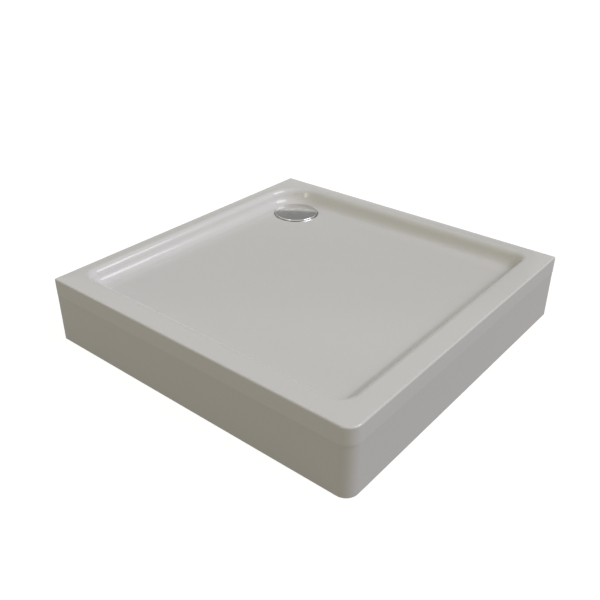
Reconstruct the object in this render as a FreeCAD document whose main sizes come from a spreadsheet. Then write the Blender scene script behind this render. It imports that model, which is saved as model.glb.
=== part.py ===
import FreeCAD, Part
import math
import os
import re

import Sketcher

# Square shower tray for a corner: a moulded shell on five levelling feet, with a 90 mm waste in
# the corner between the walls and a removable apron on the two open sides.
# Frame: +Z up, origin on the floor under the middle of the tray. The walls stand at -X and +Y,
# the open sides face +X and -Y. All lengths are in millimetres and all angles in degrees.

SIZES = (
    ("tray_width", 800, "overall size from the wall side to the open side, along X"),
    ("tray_depth", 800, "overall size along Y"),
    ("rim_top", 157, "height of the rim above the floor"),
    ("lip_height", 39, "height of the lip that turns down from the rim"),
    ("shell_wall", 5, "acrylic and laminate together"),
    ("open_rim", 50, "flat width of the rim on the open sides"),
    ("wall_rim", 30, "flat width of the rim on the wall sides"),
    ("bowl_depth", 36, "rim to floor at the waste"),
    ("bowl_draft", 12, "slope of the bowl's walls from upright"),
    ("floor_fall", 0.6, "slope of the floor towards the waste"),
    ("rim_round", 9, "round from the rim into the bowl"),
    ("floor_round", 20, "round from the bowl's walls into the floor"),
    ("waste_corner", 95, "bowl's corner radius round the waste, at the rim"),
    ("side_corner", 38, "bowl's other corner radii, at the rim"),
    ("front_corner", 28, "outer radius of the free front corner"),
    ("outer_round", 4, "small rounds on the outside of the lip"),
    ("waste_inset", 125, "centre of the waste from both wall faces"),
    ("recess_radius", 60, "recess round the waste"),
    ("recess_depth", 3.5, "recess below the floor"),
    ("waste_hole", 45, "radius of the hole for a 90 mm waste"),
    ("mould_depth", 57, "depth of the block that the shell is hollowed from"),
    ("board_thickness", 12, "base board under the floor"),
    ("board_inset", 40, "edge of the base board from the bowl's rim line"),
    ("waste_notch", 75, "half width of the notch in the board round the waste"),
    ("foot_inset", 45, "feet from the edges of the base board"),
    ("foot_waste_gap", 150, "feet beside the waste, from its centre"),
    ("bracket_side", 60, "square plate of a foot bracket"),
    ("bracket_plate", 3, "thickness of that plate"),
    ("socket_radius", 11, "socket of a foot bracket"),
    ("socket_length", 42, "socket below the plate"),
    ("screw_spread", 21, "bracket screws from the foot's axis, along X and Y"),
    ("screw_radius", 2, "shank of a bracket screw"),
    ("screw_length", 10, "shank of a bracket screw in the board"),
    ("screw_head", 4, "radius of a screw's head"),
    ("screw_head_height", 2.2, "height of a screw's head"),
    ("spindle_radius", 5, "M10 levelling spindle"),
    ("spindle_length", 92, "levelling spindle"),
    ("spindle_floor_gap", 5, "end of the spindle above the floor, inside its pad"),
    ("spindle_chamfer", 1, "chamfer on both ends of the spindle"),
    ("thread_clearance", 0.35, "radial gap between the spindle and what it turns in"),
    ("nut_across_flats", 17, "lock nut"),
    ("nut_height", 8, "lock nut"),
    ("pad_radius", 25, "foot pad"),
    ("pad_base", 7, "disc of the foot pad"),
    ("pad_neck_radius", 10, "neck of the foot pad"),
    ("pad_height", 18, "foot pad with its neck"),
    ("pad_edge", 1, "chamfer under the foot pad's edge"),
    ("pad_slope", 3, "slope on top of the foot pad's edge and round its neck"),
    ("collar_flats", 15, "spanner collar of the spindle"),
    ("collar_depth", 6, "spanner collar"),
    ("seat_gap", 0.1, "between the collar and the pad"),
    ("apron_gap", 0.4, "between the lip and the apron"),
    ("apron_setback", 1.2, "apron behind the face of the lip"),
    ("apron_wall", 4, "thickness of the apron"),
    ("apron_flange", 15, "depth of the apron's top and bottom flanges"),
    ("apron_floor_gap", 1.5, "apron above the floor"),
    ("apron_wall_gap", 1, "ends of the apron from the walls"),
    ("batten_width", 22, "timber batten behind the lip"),
    ("batten_height", 24, "timber batten"),
    ("batten_end_gap", 45, "ends of a batten from the corners"),
    ("clip_strip", 1.5, "sheet of a panel clip"),
    ("clip_length", 40, "panel clip along the rim"),
    ("clip_spacing", 420, "between the two clips of a side"),
    ("clip_grip", 8, "depth of the apron's flange that a clip covers"),
    ("clip_clearance", 0.3, "between a clip and the apron's flange"),
    ("clip_rise", 26, "clip's strip above the apron's top"),
    ("clip_screw_spread", 12, "clip screws from the middle of the clip"),
    ("clip_screw_drop", 6, "clip screws below the top of the clip"),
    ("clip_screw_length", 14, "shank of a clip screw in the batten"),
    ("hole_clearance", 0.2, "radial gap round a screw's shank"),
    ("seal_thickness", 1.5, "seals of the waste"),
    ("flange_radius", 57.5, "ring of the waste in the recess"),
    ("flange_plate", 2, "thickness of that ring"),
    ("throat_radius", 38, "bore of the waste"),
    ("throat_wall", 3.5, "wall of the waste's threaded neck"),
    ("throat_length", 28, "waste's neck below its ring"),
    ("ledge_width", 4, "ledge inside the neck that carries the insert"),
    ("ledge_thickness", 2.5, "that ledge"),
    ("fit_gap", 0.3, "gap of parts that screw or slide into each other"),
    ("weld_gap", 0.1, "gap of parts that are welded or pressed together"),
    ("trap_wall", 3, "wall of the trap's cup"),
    ("trap_radius", 50, "outside of the trap's cup"),
    ("trap_floor_gap", 8, "trap above the floor"),
    ("trap_collar", 6, "trap's collar under the floor"),
    ("collar_radius", 57, "trap's collar"),
    ("outlet_height", 64, "axis of the outlet above the floor"),
    ("outlet_radius", 20, "40 mm outlet pipe"),
    ("outlet_wall", 2, "wall of the outlet pipe"),
    ("ball_radius", 27, "ball of the outlet joint"),
    ("ball_reach", 90, "ball's centre from the waste's axis"),
    ("ball_cut", 18, "flat front of the ball from its centre"),
    ("bell_wall", 3.5, "wall of the branch and of the bell round the ball"),
    ("bell_mouth", 2, "bell past the ball's centre"),
    ("bell_reach", 23, "shoulder of the bell behind the ball's centre"),
    ("ball_seal_reach", 6, "front of the ball's seal behind the ball's centre"),
    ("ball_seal_width", 4, "ball's seal along the outlet"),
    ("ball_seal_groove", 1.2, "groove for the ball's seal in the bell"),
    ("outlet_length", 120, "outlet pipe from the ball's centre"),
    ("nut_wall", 3.5, "wall of the union nut"),
    ("nut_overlap", 7, "union nut behind the ball's centre"),
    ("nut_lip", 11.3, "back of the union nut's lip from the ball's centre"),
    ("grip_ribs", 12, "ribs round the union nut"),
    ("grip_height", 1.5, "those ribs"),
    ("cover_radius", 56.5, "cover of the waste"),
    ("cover_gap", 1.5, "water gap between the waste's ring and the cover"),
    ("cover_thickness", 3.8, "disc of the cover"),
    ("cover_round", 2.2, "round on the cover's edge"),
    ("leg_ring_wall", 3, "ring under the cover that carries its legs"),
    ("leg_ring_height", 4, "that ring"),
    ("leg_width", 9, "leg of the cover"),
    ("leg_count", 3, "legs of the cover"),
    ("leg_gap", 3, "feet of the legs above the insert's bed"),
    ("insert_height", 10, "cup rim of the trap insert"),
    ("insert_wall", 2, "wall of the trap insert"),
    ("insert_fall", 1.5, "rise of the insert's bed from its dip tube to its wall"),
    ("dip_radius", 22, "dip tube of the trap insert"),
    ("dip_floor_gap", 7, "dip tube above the inside of the trap"),
    ("finger_tab", 12, "width of a finger tab inside the insert's cup"),
    ("tab_reach", 8, "those tabs from the cup's wall"),
    ("tab_thickness", 3, "those tabs"),
)
ALIASES = {alias for alias, _, _ in SIZES}

doc = FreeCAD.newDocument("ShowerTray")
sheet = doc.addObject("Spreadsheet::Sheet", "Sizes")
for row, (alias, value, note) in enumerate(SIZES, start=1):
    sheet.set(f"A{row}", alias)
    sheet.set(f"B{row}", str(value))
    sheet.set(f"C{row}", note)
    sheet.setAlias(f"B{row}", alias)
doc.recompute()

UPRIGHT = FreeCAD.Vector(0, 0, 1)
# The floor falls towards the corner of the walls, so it tilts about this level line.
FALL_AXIS = FreeCAD.Vector(1, 1, 0)


# ---- expressions and sketches ------------------------------------------------------------------

def bound(text):
    """Expression in which each named size points to its cell of the sheet."""
    return re.sub(r"[a-z_]+", lambda word: "Sizes." + word[0] if word[0] in ALIASES else word[0],
                  str(text))


def number(text):
    """Value of an expression, as a plain number."""
    return float(sheet.evalExpression(bound(text)))


def bind(thing, prop, text):
    """Tie a property to an expression of the sheet's sizes."""
    thing.setExpression(prop, bound(text))


def origin_plane(body, role):
    return next(item for item in body.Origin.OriginFeatures if item.Role == role)


def new_body(label, x=0, y=0, z=0, turn=0, tilted=False):
    """Body with its own label, placed by expressions, upright or tilted with the floor."""
    body = doc.addObject("PartDesign::Body", label)
    body.Label = label
    body.AllowCompound = True
    axis = FALL_AXIS if tilted else UPRIGHT
    body.Placement = FreeCAD.Placement(FreeCAD.Vector(), FreeCAD.Rotation(axis, 1))
    bind(body, "Placement.Rotation.Angle", "0 - floor_fall" if tilted else turn)
    for letter, text in zip("xyz", (x, y, z)):
        bind(body, f"Placement.Base.{letter}", text)
    return body


def new_sketch(body, name, role="XY_Plane", offset=0):
    """Empty sketch on one of the body's own origin planes, moved along the plane's normal."""
    sketch = body.newObject("Sketcher::SketchObject", name)
    sketch.AttachmentSupport = [(origin_plane(body, role), "")]
    sketch.MapMode = "FlatFace"
    bind(sketch, "AttachmentOffset.Base.z", offset)
    return sketch


def hold(sketch, kind, *references, text):
    """Dimension in a sketch, tied to an expression."""
    index = sketch.addConstraint(Sketcher.Constraint(kind, *references, number(text)))
    bind(sketch, f"Constraints[{index}]", text)


def draw_polygon(sketch, points):
    """Closed outline through points, each a pair of expressions."""
    places = [FreeCAD.Vector(number(x), number(y), 0) for x, y in points]
    first = sketch.GeometryCount
    count = len(points)
    for index, place in enumerate(places):
        sketch.addGeometry(Part.LineSegment(place, places[(index + 1) % count]), False)
    for index, (x, y) in enumerate(points):
        line = first + index
        sketch.addConstraint(Sketcher.Constraint("Coincident", line, 2, first + (index + 1) % count, 1))
        hold(sketch, "DistanceX", -1, 1, line, 1, text=x)
        hold(sketch, "DistanceY", -1, 1, line, 1, text=y)


def draw_circle(sketch, x, y, radius):
    centre = FreeCAD.Vector(number(x), number(y), 0)
    index = sketch.addGeometry(Part.Circle(centre, FreeCAD.Vector(0, 0, 1), number(radius)), False)
    hold(sketch, "DistanceX", -1, 1, index, 3, text=x)
    hold(sketch, "DistanceY", -1, 1, index, 3, text=y)
    hold(sketch, "Radius", index, text=radius)


def draw_rounded(sketch, west, east, south, north, corners):
    """Rectangle with tangent arcs; corners gives a radius or None, from south-west anticlockwise."""
    sides = {"west": west, "east": east, "south": south, "north": north}
    w, e, s, n = (number(sides[name]) for name in ("west", "east", "south", "north"))
    middles = [(w, s), (e, s), (e, n), (w, n)]
    inward = [(1, 1), (-1, 1), (-1, -1), (1, -1)]
    radii = [number(text) if text else 0.0 for text in corners]
    ends = []
    for (x, y), (ix, iy), radius in zip(middles, inward, radii):
        along_x = FreeCAD.Vector(x + ix * radius, y, 0)
        along_y = FreeCAD.Vector(x, y + iy * radius, 0)
        ends.append((along_x, along_y))
    lines = (
        (ends[0][0], ends[1][0]), (ends[1][1], ends[2][1]),
        (ends[2][0], ends[3][0]), (ends[3][1], ends[0][1]),
    )
    edges = [sketch.addGeometry(Part.LineSegment(start, end), False) for start, end in lines]
    for index, (text, radius) in enumerate(zip(corners, radii)):
        before = edges[index - 1]
        after = edges[index]
        if not text:
            sketch.addConstraint(Sketcher.Constraint("Coincident", before, 2, after, 1))
            continue
        (x, y), (ix, iy) = middles[index], inward[index]
        circle = Part.Circle(FreeCAD.Vector(x + ix * radius, y + iy * radius, 0),
                             FreeCAD.Vector(0, 0, 1), radius)
        start = math.pi + index * math.pi / 2
        arc = sketch.addGeometry(Part.ArcOfCircle(circle, start, start + math.pi / 2), False)
        sketch.addConstraint(Sketcher.Constraint("Tangent", before, 2, arc, 1))
        sketch.addConstraint(Sketcher.Constraint("Tangent", arc, 2, after, 1))
        hold(sketch, "Radius", arc, text=text)
    for edge, kind in zip(edges, ("Horizontal", "Vertical", "Horizontal", "Vertical")):
        sketch.addConstraint(Sketcher.Constraint(kind, edge))
    hold(sketch, "DistanceY", -1, 1, edges[0], 1, text=south)
    hold(sketch, "DistanceX", -1, 1, edges[1], 1, text=east)
    hold(sketch, "DistanceY", -1, 1, edges[2], 1, text=north)
    hold(sketch, "DistanceX", -1, 1, edges[3], 1, text=west)


# ---- features ----------------------------------------------------------------------------------

def extrude(body, kind, sketch, length, reverse=False, taper=None, middle=False):
    """Pad or Pocket of a sketch. A pad grows along the plane's normal and a pocket against it."""
    feature = body.newObject("PartDesign::" + kind, sketch.Name + kind)
    feature.Profile = sketch
    feature.Reversed = reverse
    feature.Midplane = middle
    bind(feature, "Length", length)
    if taper is not None:
        bind(feature, "TaperAngle", taper)
    sketch.Visibility = False
    return feature


def pad(body, sketch, length, **options):
    return extrude(body, "Pad", sketch, length, **options)


def pocket(body, sketch, length, **options):
    """Pocket that has to take material away."""
    doc.recompute()
    before = body.Shape.Volume
    feature = extrude(body, "Pocket", sketch, length, **options)
    doc.recompute()
    if not body.Shape.Volume < before:
        raise ValueError(f"{feature.Name} in {body.Label} cuts nothing")
    return feature


def revolve(body, sketch, kind="Revolution", axis="V_Axis"):
    feature = body.newObject("PartDesign::" + kind, sketch.Name + kind)
    feature.Profile = sketch
    feature.ReferenceAxis = (sketch, [axis])
    feature.Angle = 360
    sketch.Visibility = False
    return feature


def turned(body, name, points, kind="Revolution"):
    """Ring or disc about the body's upright axis, from radius and height pairs."""
    sketch = new_sketch(body, name, "XZ_Plane")
    draw_polygon(sketch, points)
    return revolve(body, sketch, kind)


def tilted_plane(body, name, x, y, height):
    """Plane parallel to the falling floor through a point given in the body's own frame."""
    plane = body.newObject("PartDesign::Plane", name)
    plane.AttachmentSupport = [(origin_plane(body, "XY_Plane"), "")]
    plane.MapMode = "FlatFace"
    plane.AttachmentOffset = FreeCAD.Placement(
        FreeCAD.Vector(), FreeCAD.Rotation(FALL_AXIS, -number("floor_fall")))
    bind(plane, "AttachmentOffset.Base.x", x)
    bind(plane, "AttachmentOffset.Base.y", y)
    bind(plane, "AttachmentOffset.Base.z", height)
    bind(plane, "AttachmentOffset.Rotation.Angle", "0 - floor_fall")
    return plane


def pad_up_to(body, sketch, plane):
    """Pad that ends on a tilted plane."""
    feature = body.newObject("PartDesign::Pad", sketch.Name + "Pad")
    feature.Profile = sketch
    feature.Type = "UpToFace"
    feature.UpToFace = (plane, [""])
    sketch.Visibility = False
    return feature


def round_edges(body, name, radius, wanted):
    """Fillet on the edges of the body that the test accepts."""
    doc.recompute()
    names = [f"Edge{index}" for index, edge in enumerate(body.Shape.Edges, start=1) if wanted(edge)]
    if not names:
        raise ValueError(f"{name} in {body.Label} finds no edge")
    base = body.Tip
    feature = body.newObject("PartDesign::Fillet", name)
    feature.Base = (base, names)
    bind(feature, "Radius", radius)
    doc.recompute()
    return feature


def copies(body, feature, count, name):
    """Feature repeated evenly round the body's upright axis."""
    pattern = body.newObject("PartDesign::PolarPattern", name)
    pattern.Originals = [feature]
    pattern.Axis = (origin_plane(body, "Z_Axis"), [""])
    pattern.Angle = 360
    bind(pattern, "Occurrences", count)
    body.Tip = pattern
    return pattern


# ---- places shared by several pieces -----------------------------------------------------------

WEST = "(0 - tray_width / 2)"
EAST = "(tray_width / 2)"
SOUTH = "(0 - tray_depth / 2)"
NORTH = "(tray_depth / 2)"

WASTE_X = f"({WEST} + waste_inset)"
WASTE_Y = f"({NORTH} - waste_inset)"

# The rim's flat ends on these lines, and the bowl's wall meets the rim's plane RIM_BLEND further in.
RIM_WEST = f"({WEST} + wall_rim)"
RIM_EAST = f"({EAST} - open_rim)"
RIM_SOUTH = f"({SOUTH} + open_rim)"
RIM_NORTH = f"({NORTH} - wall_rim)"
RIM_BLEND = "(rim_round * tan(45 deg - bowl_draft * 0.5 deg))"

LIP_BOTTOM = "(rim_top - lip_height)"
FLOOR_AT_WASTE = "(rim_top - bowl_depth)"
RECESS_FLOOR = f"({FLOOR_AT_WASTE} - recess_depth)"
RECESS_UNDERSIDE = f"({RECESS_FLOOR} - shell_wall)"
SLAB_UNDERSIDE = f"({FLOOR_AT_WASTE} - shell_wall / cos(floor_fall * 1 deg))"
BOARD_UNDERSIDE = f"({SLAB_UNDERSIDE} - board_thickness / cos(floor_fall * 1 deg))"

BOARD_WEST = f"({RIM_WEST} + board_inset)"
BOARD_EAST = f"({RIM_EAST} - board_inset)"
BOARD_SOUTH = f"({RIM_SOUTH} + board_inset)"
BOARD_NORTH = f"({RIM_NORTH} - board_inset)"

# Five feet: three in the free corners of the board and two beside the waste's corner.
FEET = {
    "front": (f"({BOARD_EAST} - foot_inset)", f"({BOARD_SOUTH} + foot_inset)"),
    "left": (f"({BOARD_WEST} + foot_inset)", f"({BOARD_SOUTH} + foot_inset)"),
    "right": (f"({BOARD_EAST} - foot_inset)", f"({BOARD_NORTH} - foot_inset)"),
    "waste_left": (f"({BOARD_WEST} + foot_inset)", f"({WASTE_Y} - foot_waste_gap)"),
    "waste_right": (f"({WASTE_X} + foot_waste_gap)", f"({BOARD_NORTH} - foot_inset)"),
}


def rise(x, y):
    """Height that the falling floor gains between the waste and a place on it."""
    return f"(tan(floor_fall * 1 deg) * (({x} - {WASTE_X}) - ({y} - {WASTE_Y})) / sqrt(2))"


def floor_height(x, y):
    """The same for a point given as plain numbers."""
    fall = math.tan(math.radians(number("floor_fall")))
    run = ((x - number(WASTE_X)) - (y - number(WASTE_Y))) / math.sqrt(2)
    return number(FLOOR_AT_WASTE) + fall * run


APRON_TOP = f"({LIP_BOTTOM} - apron_gap)"
APRON_INSIDE = "(apron_setback + apron_wall)"
FLANGE_UNDERSIDE = f"({APRON_TOP} - apron_wall)"
BATTEN_TOP = "(rim_top - shell_wall)"
BATTEN_BACK = "(shell_wall + batten_width)"
CLIP_BACK = f"({BATTEN_BACK} + clip_strip)"
CLIP_TOP = f"({APRON_TOP} + clip_rise)"
CLIP_SCREW_Z = f"({CLIP_TOP} - clip_screw_drop)"
CLIP_TIP = "(apron_setback + apron_flange - clip_grip)"

# Each side's frame has its origin on the lip's face, +X along the side and +Y into the tray.
SIDES = {
    "front": {"x": 0, "y": SOUTH, "turn": 0, "length": "tray_width"},
    "side": {"x": EAST, "y": 0, "turn": 90, "length": "tray_depth"},
}
CLIPS = (
    ("panel_clip_1", "front", "(0 - clip_spacing / 2)"),
    ("panel_clip_2", "front", "(clip_spacing / 2)"),
    ("panel_clip_3", "side", "(0 - clip_spacing / 2)"),
    ("panel_clip_4", "side", "(clip_spacing / 2)"),
)


# ---- the shell ---------------------------------------------------------------------------------

def tray_shell():
    """Shell of even thickness: a block with the bowl sunk in it, hollowed from below."""
    body = new_body("tray_shell")
    block = new_sketch(body, "Block", offset="rim_top")
    draw_rounded(block, WEST, EAST, SOUTH, NORTH, (None, "front_corner", None, None))
    pad(body, block, "mould_depth", reverse=True)

    mouth = new_sketch(body, "Mouth", offset="rim_top")
    side_radius = f"(side_corner - {RIM_BLEND})"
    draw_rounded(mouth, f"{RIM_WEST} + {RIM_BLEND}", f"{RIM_EAST} - {RIM_BLEND}",
                 f"{RIM_SOUTH} + {RIM_BLEND}", f"{RIM_NORTH} - {RIM_BLEND}",
                 (side_radius, side_radius, side_radius, f"(waste_corner - {RIM_BLEND})"))
    pocket(body, mouth, "bowl_depth + shell_wall", taper="0 - bowl_draft")

    fill = new_sketch(body, "FloorFill", offset="rim_top - mould_depth")
    draw_rounded(fill, RIM_WEST, RIM_EAST, RIM_SOUTH, RIM_NORTH, (None, None, None, None))
    pad_up_to(body, fill, tilted_plane(body, "Floor", WASTE_X, WASTE_Y, FLOOR_AT_WASTE))

    def on_floor(edge):
        points = [vertex.Point for vertex in edge.Vertexes]
        inside = max(abs(point.x) for point in points) < number("tray_width") / 2 - 1
        return inside and all(abs(p.z - floor_height(p.x, p.y)) < 0.01 for p in points)

    def on_mouth(edge):
        box = edge.BoundBox
        flat = box.ZMin > number("rim_top") - 0.01
        return flat and max(abs(box.XMin), abs(box.XMax)) < number(EAST) - 1

    round_edges(body, "FloorRound", "floor_round", on_floor)
    round_edges(body, "RimRound", "rim_round", on_mouth)

    solid = body.Tip
    heights = [face.BoundBox.ZMax for face in solid.Shape.Faces]
    base = heights.index(min(heights)) + 1
    hollow = body.newObject("PartDesign::Thickness", "Hollow")
    hollow.Base = (solid, [f"Face{base}"])
    hollow.Reversed = True
    bind(hollow, "Value", "shell_wall")

    seat = new_sketch(body, "RecessSeat", offset=RECESS_UNDERSIDE)
    draw_circle(seat, WASTE_X, WASTE_Y, "recess_radius + shell_wall")
    pad(body, seat, "recess_depth + shell_wall / 2")
    recess = new_sketch(body, "Recess", offset=f"{FLOOR_AT_WASTE} + recess_depth")
    draw_circle(recess, WASTE_X, WASTE_Y, "recess_radius")
    pocket(body, recess, "2 * recess_depth")

    skirt = new_sketch(body, "SkirtTrim", offset="rim_top - mould_depth")
    draw_rounded(skirt, f"{WEST} - shell_wall", f"{EAST} + shell_wall",
                 f"{SOUTH} - shell_wall", f"{NORTH} + shell_wall", (None, None, None, None))
    draw_rounded(skirt, f"{WEST} + 1.5 * shell_wall", f"{EAST} - 1.5 * shell_wall",
                 f"{SOUTH} + 1.5 * shell_wall", f"{NORTH} - 1.5 * shell_wall",
                 (None, "front_corner - 1.5 * shell_wall", None, None))
    pocket(body, skirt, "mould_depth - lip_height", reverse=True)

    outlet = new_sketch(body, "WasteHole", offset=FLOOR_AT_WASTE)
    draw_circle(outlet, WASTE_X, WASTE_Y, "waste_hole")
    pocket(body, outlet, "mould_depth")

    def on_outside(edge):
        box = edge.BoundBox
        top = box.ZMin > number("rim_top") - 0.01
        beyond = number(EAST) - number("front_corner") - 1
        far = max(abs(box.XMin), abs(box.XMax), abs(box.YMin), abs(box.YMax)) > number(EAST) - 0.01
        upright = box.XLength < 0.01 and box.YLength < 0.01 and box.ZLength > number("lip_height / 2")
        corner = min(abs(box.XMax), abs(box.YMax)) > beyond and far
        return (top and far) or (upright and corner)

    round_edges(body, "OuterRound", "outer_round", on_outside)


# ---- what stiffens and carries the shell -------------------------------------------------------

def on_feet(draw):
    """Call a drawing function for each bracket screw, with the foot and the screw's place."""
    for name, (x, y) in FEET.items():
        for along, across in ((1, 1), (-1, 1), (-1, -1), (1, -1)):
            draw(name, f"{x} + {along} * screw_spread", f"{y} + {across} * screw_spread")


def base_board():
    """Board bonded under the floor, so it tilts with it, notched round the waste."""
    body = new_body("base_board", WASTE_X, WASTE_Y, BOARD_UNDERSIDE, tilted=True)
    outline = new_sketch(body, "Outline")
    west, east = f"{BOARD_WEST} - {WASTE_X}", f"{BOARD_EAST} - {WASTE_X}"
    south, north = f"{BOARD_SOUTH} - {WASTE_Y}", f"{BOARD_NORTH} - {WASTE_Y}"
    notch_x, notch_y = "waste_notch", "0 - waste_notch"
    draw_polygon(outline, ((west, south), (east, south), (east, north),
                           (notch_x, north), (notch_x, notch_y), (west, notch_y)))
    pad(body, outline, "board_thickness")
    holes = new_sketch(body, "ScrewHoles")
    on_feet(lambda name, x, y: draw_circle(
        holes, f"{x} - {WASTE_X}", f"{y} - {WASTE_Y}", "screw_radius + hole_clearance"))
    pocket(body, holes, "screw_length + screw_radius / 2", reverse=True)


def board_height(name):
    """Underside of the base board over a foot."""
    x, y = FEET[name]
    return f"({BOARD_UNDERSIDE} + {rise(x, y)})"


def plate_height(name):
    return f"({board_height(name)} - bracket_plate)"


def foot_bracket(name):
    """Plate screwed to the board, with a ribbed socket for the spindle below it."""
    body = new_body(f"foot_bracket_{name}", *FEET[name])
    plate = new_sketch(body, "Plate", offset=plate_height(name))
    half = "bracket_side / 2"
    draw_rounded(plate, f"0 - {half}", half, f"0 - {half}", half, ("bracket_plate",) * 4)
    pad_up_to(body, plate, tilted_plane(body, "Board", 0, 0, board_height(name)))
    socket = new_sketch(body, "Socket", offset=plate_height(name))
    draw_circle(socket, 0, 0, "socket_radius")
    pad(body, socket, "socket_length", reverse=True)
    rib = new_sketch(body, "Rib", "XZ_Plane")
    top = plate_height(name)
    root = "(socket_radius - bracket_plate / 3)"
    draw_polygon(rib, ((root, top), ("bracket_side / 2 - bracket_plate", top),
                       (root, f"{top} - socket_length / 2")))
    copies(body, pad(body, rib, "bracket_plate", middle=True), 4, "Ribs")
    holes = new_sketch(body, "Holes", offset=f"{plate_height(name)} - socket_length")
    for along, across in ((1, 1), (-1, 1), (-1, -1), (1, -1)):
        draw_circle(holes, f"{along} * screw_spread", f"{across} * screw_spread",
                    "screw_radius + hole_clearance")
    draw_circle(holes, 0, 0, "spindle_radius + thread_clearance")
    pocket(body, holes, "socket_length + 2 * bracket_plate", reverse=True)


def hexagon(sketch, x, y, flats):
    """Hexagon about a point, by its size across flats."""
    draw_polygon(sketch, [(f"{x} + {flats} / sqrt(3) * cos({60 * corner} deg)",
                           f"{y} + {flats} / sqrt(3) * sin({60 * corner} deg)")
                          for corner in range(6)])


def foot_lock_nuts():
    """One nut on each spindle, tightened up against the socket."""
    body = new_body("foot_lock_nuts")
    for name, (x, y) in FEET.items():
        nut = new_sketch(body, f"Nut_{name}", offset=f"{plate_height(name)} - socket_length")
        hexagon(nut, x, y, "nut_across_flats")
        draw_circle(nut, x, y, "spindle_radius + thread_clearance")
        pad(body, nut, "nut_height", reverse=True)


def foot_spindle(name):
    """Threaded spindle with a spanner collar that stands on the pad's neck."""
    body = new_body(f"foot_spindle_{name}", *FEET[name])
    low = "spindle_floor_gap"
    high = "(spindle_floor_gap + spindle_length)"
    tip = "(spindle_radius - spindle_chamfer)"
    turned(body, "Rod", ((0, low), (tip, low), ("spindle_radius", f"{low} + spindle_chamfer"),
                         ("spindle_radius", f"{high} - spindle_chamfer"), (tip, high), (0, high)))
    collar = new_sketch(body, "Collar", offset="pad_height + seat_gap")
    hexagon(collar, 0, 0, "collar_flats")
    pad(body, collar, "collar_depth")


def foot_pad(name):
    """Moulded pad with a socket for the end of the spindle."""
    body = new_body(f"foot_pad_{name}", *FEET[name])
    bore = "spindle_radius + thread_clearance"
    bed = "(spindle_floor_gap - fit_gap)"
    turned(body, "Pad", (
        (0, 0), ("pad_radius - pad_edge", 0), ("pad_radius", "pad_edge"),
        ("pad_radius", "pad_base - pad_edge"), ("pad_radius - pad_slope", "pad_base"),
        ("pad_neck_radius + pad_slope", "pad_base"), ("pad_neck_radius", "pad_base + pad_slope"),
        ("pad_neck_radius", "pad_height"), (bore, "pad_height"), (bore, bed), (0, bed)))


def cylinder(name, radius, height, place, rotation):
    """Part cylinder whose base centre is given by three expressions."""
    solid = doc.addObject("Part::Cylinder", name)
    bind(solid, "Radius", radius)
    bind(solid, "Height", height)
    solid.Placement = FreeCAD.Placement(FreeCAD.Vector(), rotation)
    for letter, text in zip("xyz", place):
        bind(solid, f"Placement.Base.{letter}", text)
    return solid


def fused(label, solids):
    """Group of separate screws, each a head and a shank, as one sub-part."""
    group = doc.addObject("Part::MultiFuse", label)
    group.Label = label
    group.Shapes = solids
    return group


def bracket_screws():
    """Pan-head screws through the plates into the board, driven from below."""
    solids = []

    def screw(name, x, y):
        upright = FreeCAD.Rotation()
        index = len(solids)
        under = f"{plate_height(name)} - screw_head_height"
        solids.append(cylinder(f"BracketScrewHead{index}", "screw_head", "screw_head_height",
                               (x, y, under), upright))
        solids.append(cylinder(f"BracketScrewShank{index}", "screw_radius",
                               "bracket_plate + screw_length", (x, y, plate_height(name)), upright))

    on_feet(screw)
    fused("bracket_screws", solids)


# ---- the apron and what holds it ---------------------------------------------------------------

def apron_panel():
    """Flanged section swept along the two open sides and round the front corner."""
    body = new_body("apron_panel")
    path = new_sketch(body, "Path")
    west, east = number(f"{WEST} + apron_wall_gap"), number(f"{EAST} - apron_setback")
    south, north = number(f"{SOUTH} + apron_setback"), number(f"{NORTH} - apron_wall_gap")
    bend = number("front_corner - apron_setback")
    front = path.addGeometry(Part.LineSegment(
        FreeCAD.Vector(west, south, 0), FreeCAD.Vector(east - bend, south, 0)), False)
    side = path.addGeometry(Part.LineSegment(
        FreeCAD.Vector(east, south + bend, 0), FreeCAD.Vector(east, north, 0)), False)
    circle = Part.Circle(FreeCAD.Vector(east - bend, south + bend, 0), UPRIGHT, bend)
    arc = path.addGeometry(Part.ArcOfCircle(circle, -math.pi / 2, 0), False)
    path.addConstraint(Sketcher.Constraint("Tangent", front, 2, arc, 1))
    path.addConstraint(Sketcher.Constraint("Tangent", arc, 2, side, 1))
    path.addConstraint(Sketcher.Constraint("Horizontal", front))
    path.addConstraint(Sketcher.Constraint("Vertical", side))
    hold(path, "DistanceX", -1, 1, front, 1, text=f"{WEST} + apron_wall_gap")
    hold(path, "DistanceY", -1, 1, front, 1, text=f"{SOUTH} + apron_setback")
    hold(path, "DistanceX", -1, 1, side, 1, text=f"{EAST} - apron_setback")
    hold(path, "DistanceY", -1, 1, side, 2, text=f"{NORTH} - apron_wall_gap")
    hold(path, "Radius", arc, text="front_corner - apron_setback")

    section = new_sketch(body, "Section", "YZ_Plane", offset=f"{WEST} + apron_wall_gap")
    face = f"({SOUTH} + apron_setback)"
    back, edge = f"({face} + apron_wall)", f"({face} + apron_flange)"
    low, high = "apron_floor_gap", APRON_TOP
    draw_polygon(section, (
        (face, low), (edge, low), (edge, f"{low} + apron_wall"), (back, f"{low} + apron_wall"),
        (back, f"{high} - apron_wall"), (edge, f"{high} - apron_wall"), (edge, high), (face, high)))
    sweep = body.newObject("PartDesign::AdditivePipe", "Apron")
    sweep.Profile = section
    sweep.Spine = (path, [])


def side_body(label, side, along=0):
    """Body in the frame of an open side, at a place along it."""
    frame = SIDES[side]
    x = along if side == "front" else frame["x"]
    y = along if side == "side" else frame["y"]
    return new_body(label, x, y, turn=frame["turn"])


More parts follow.
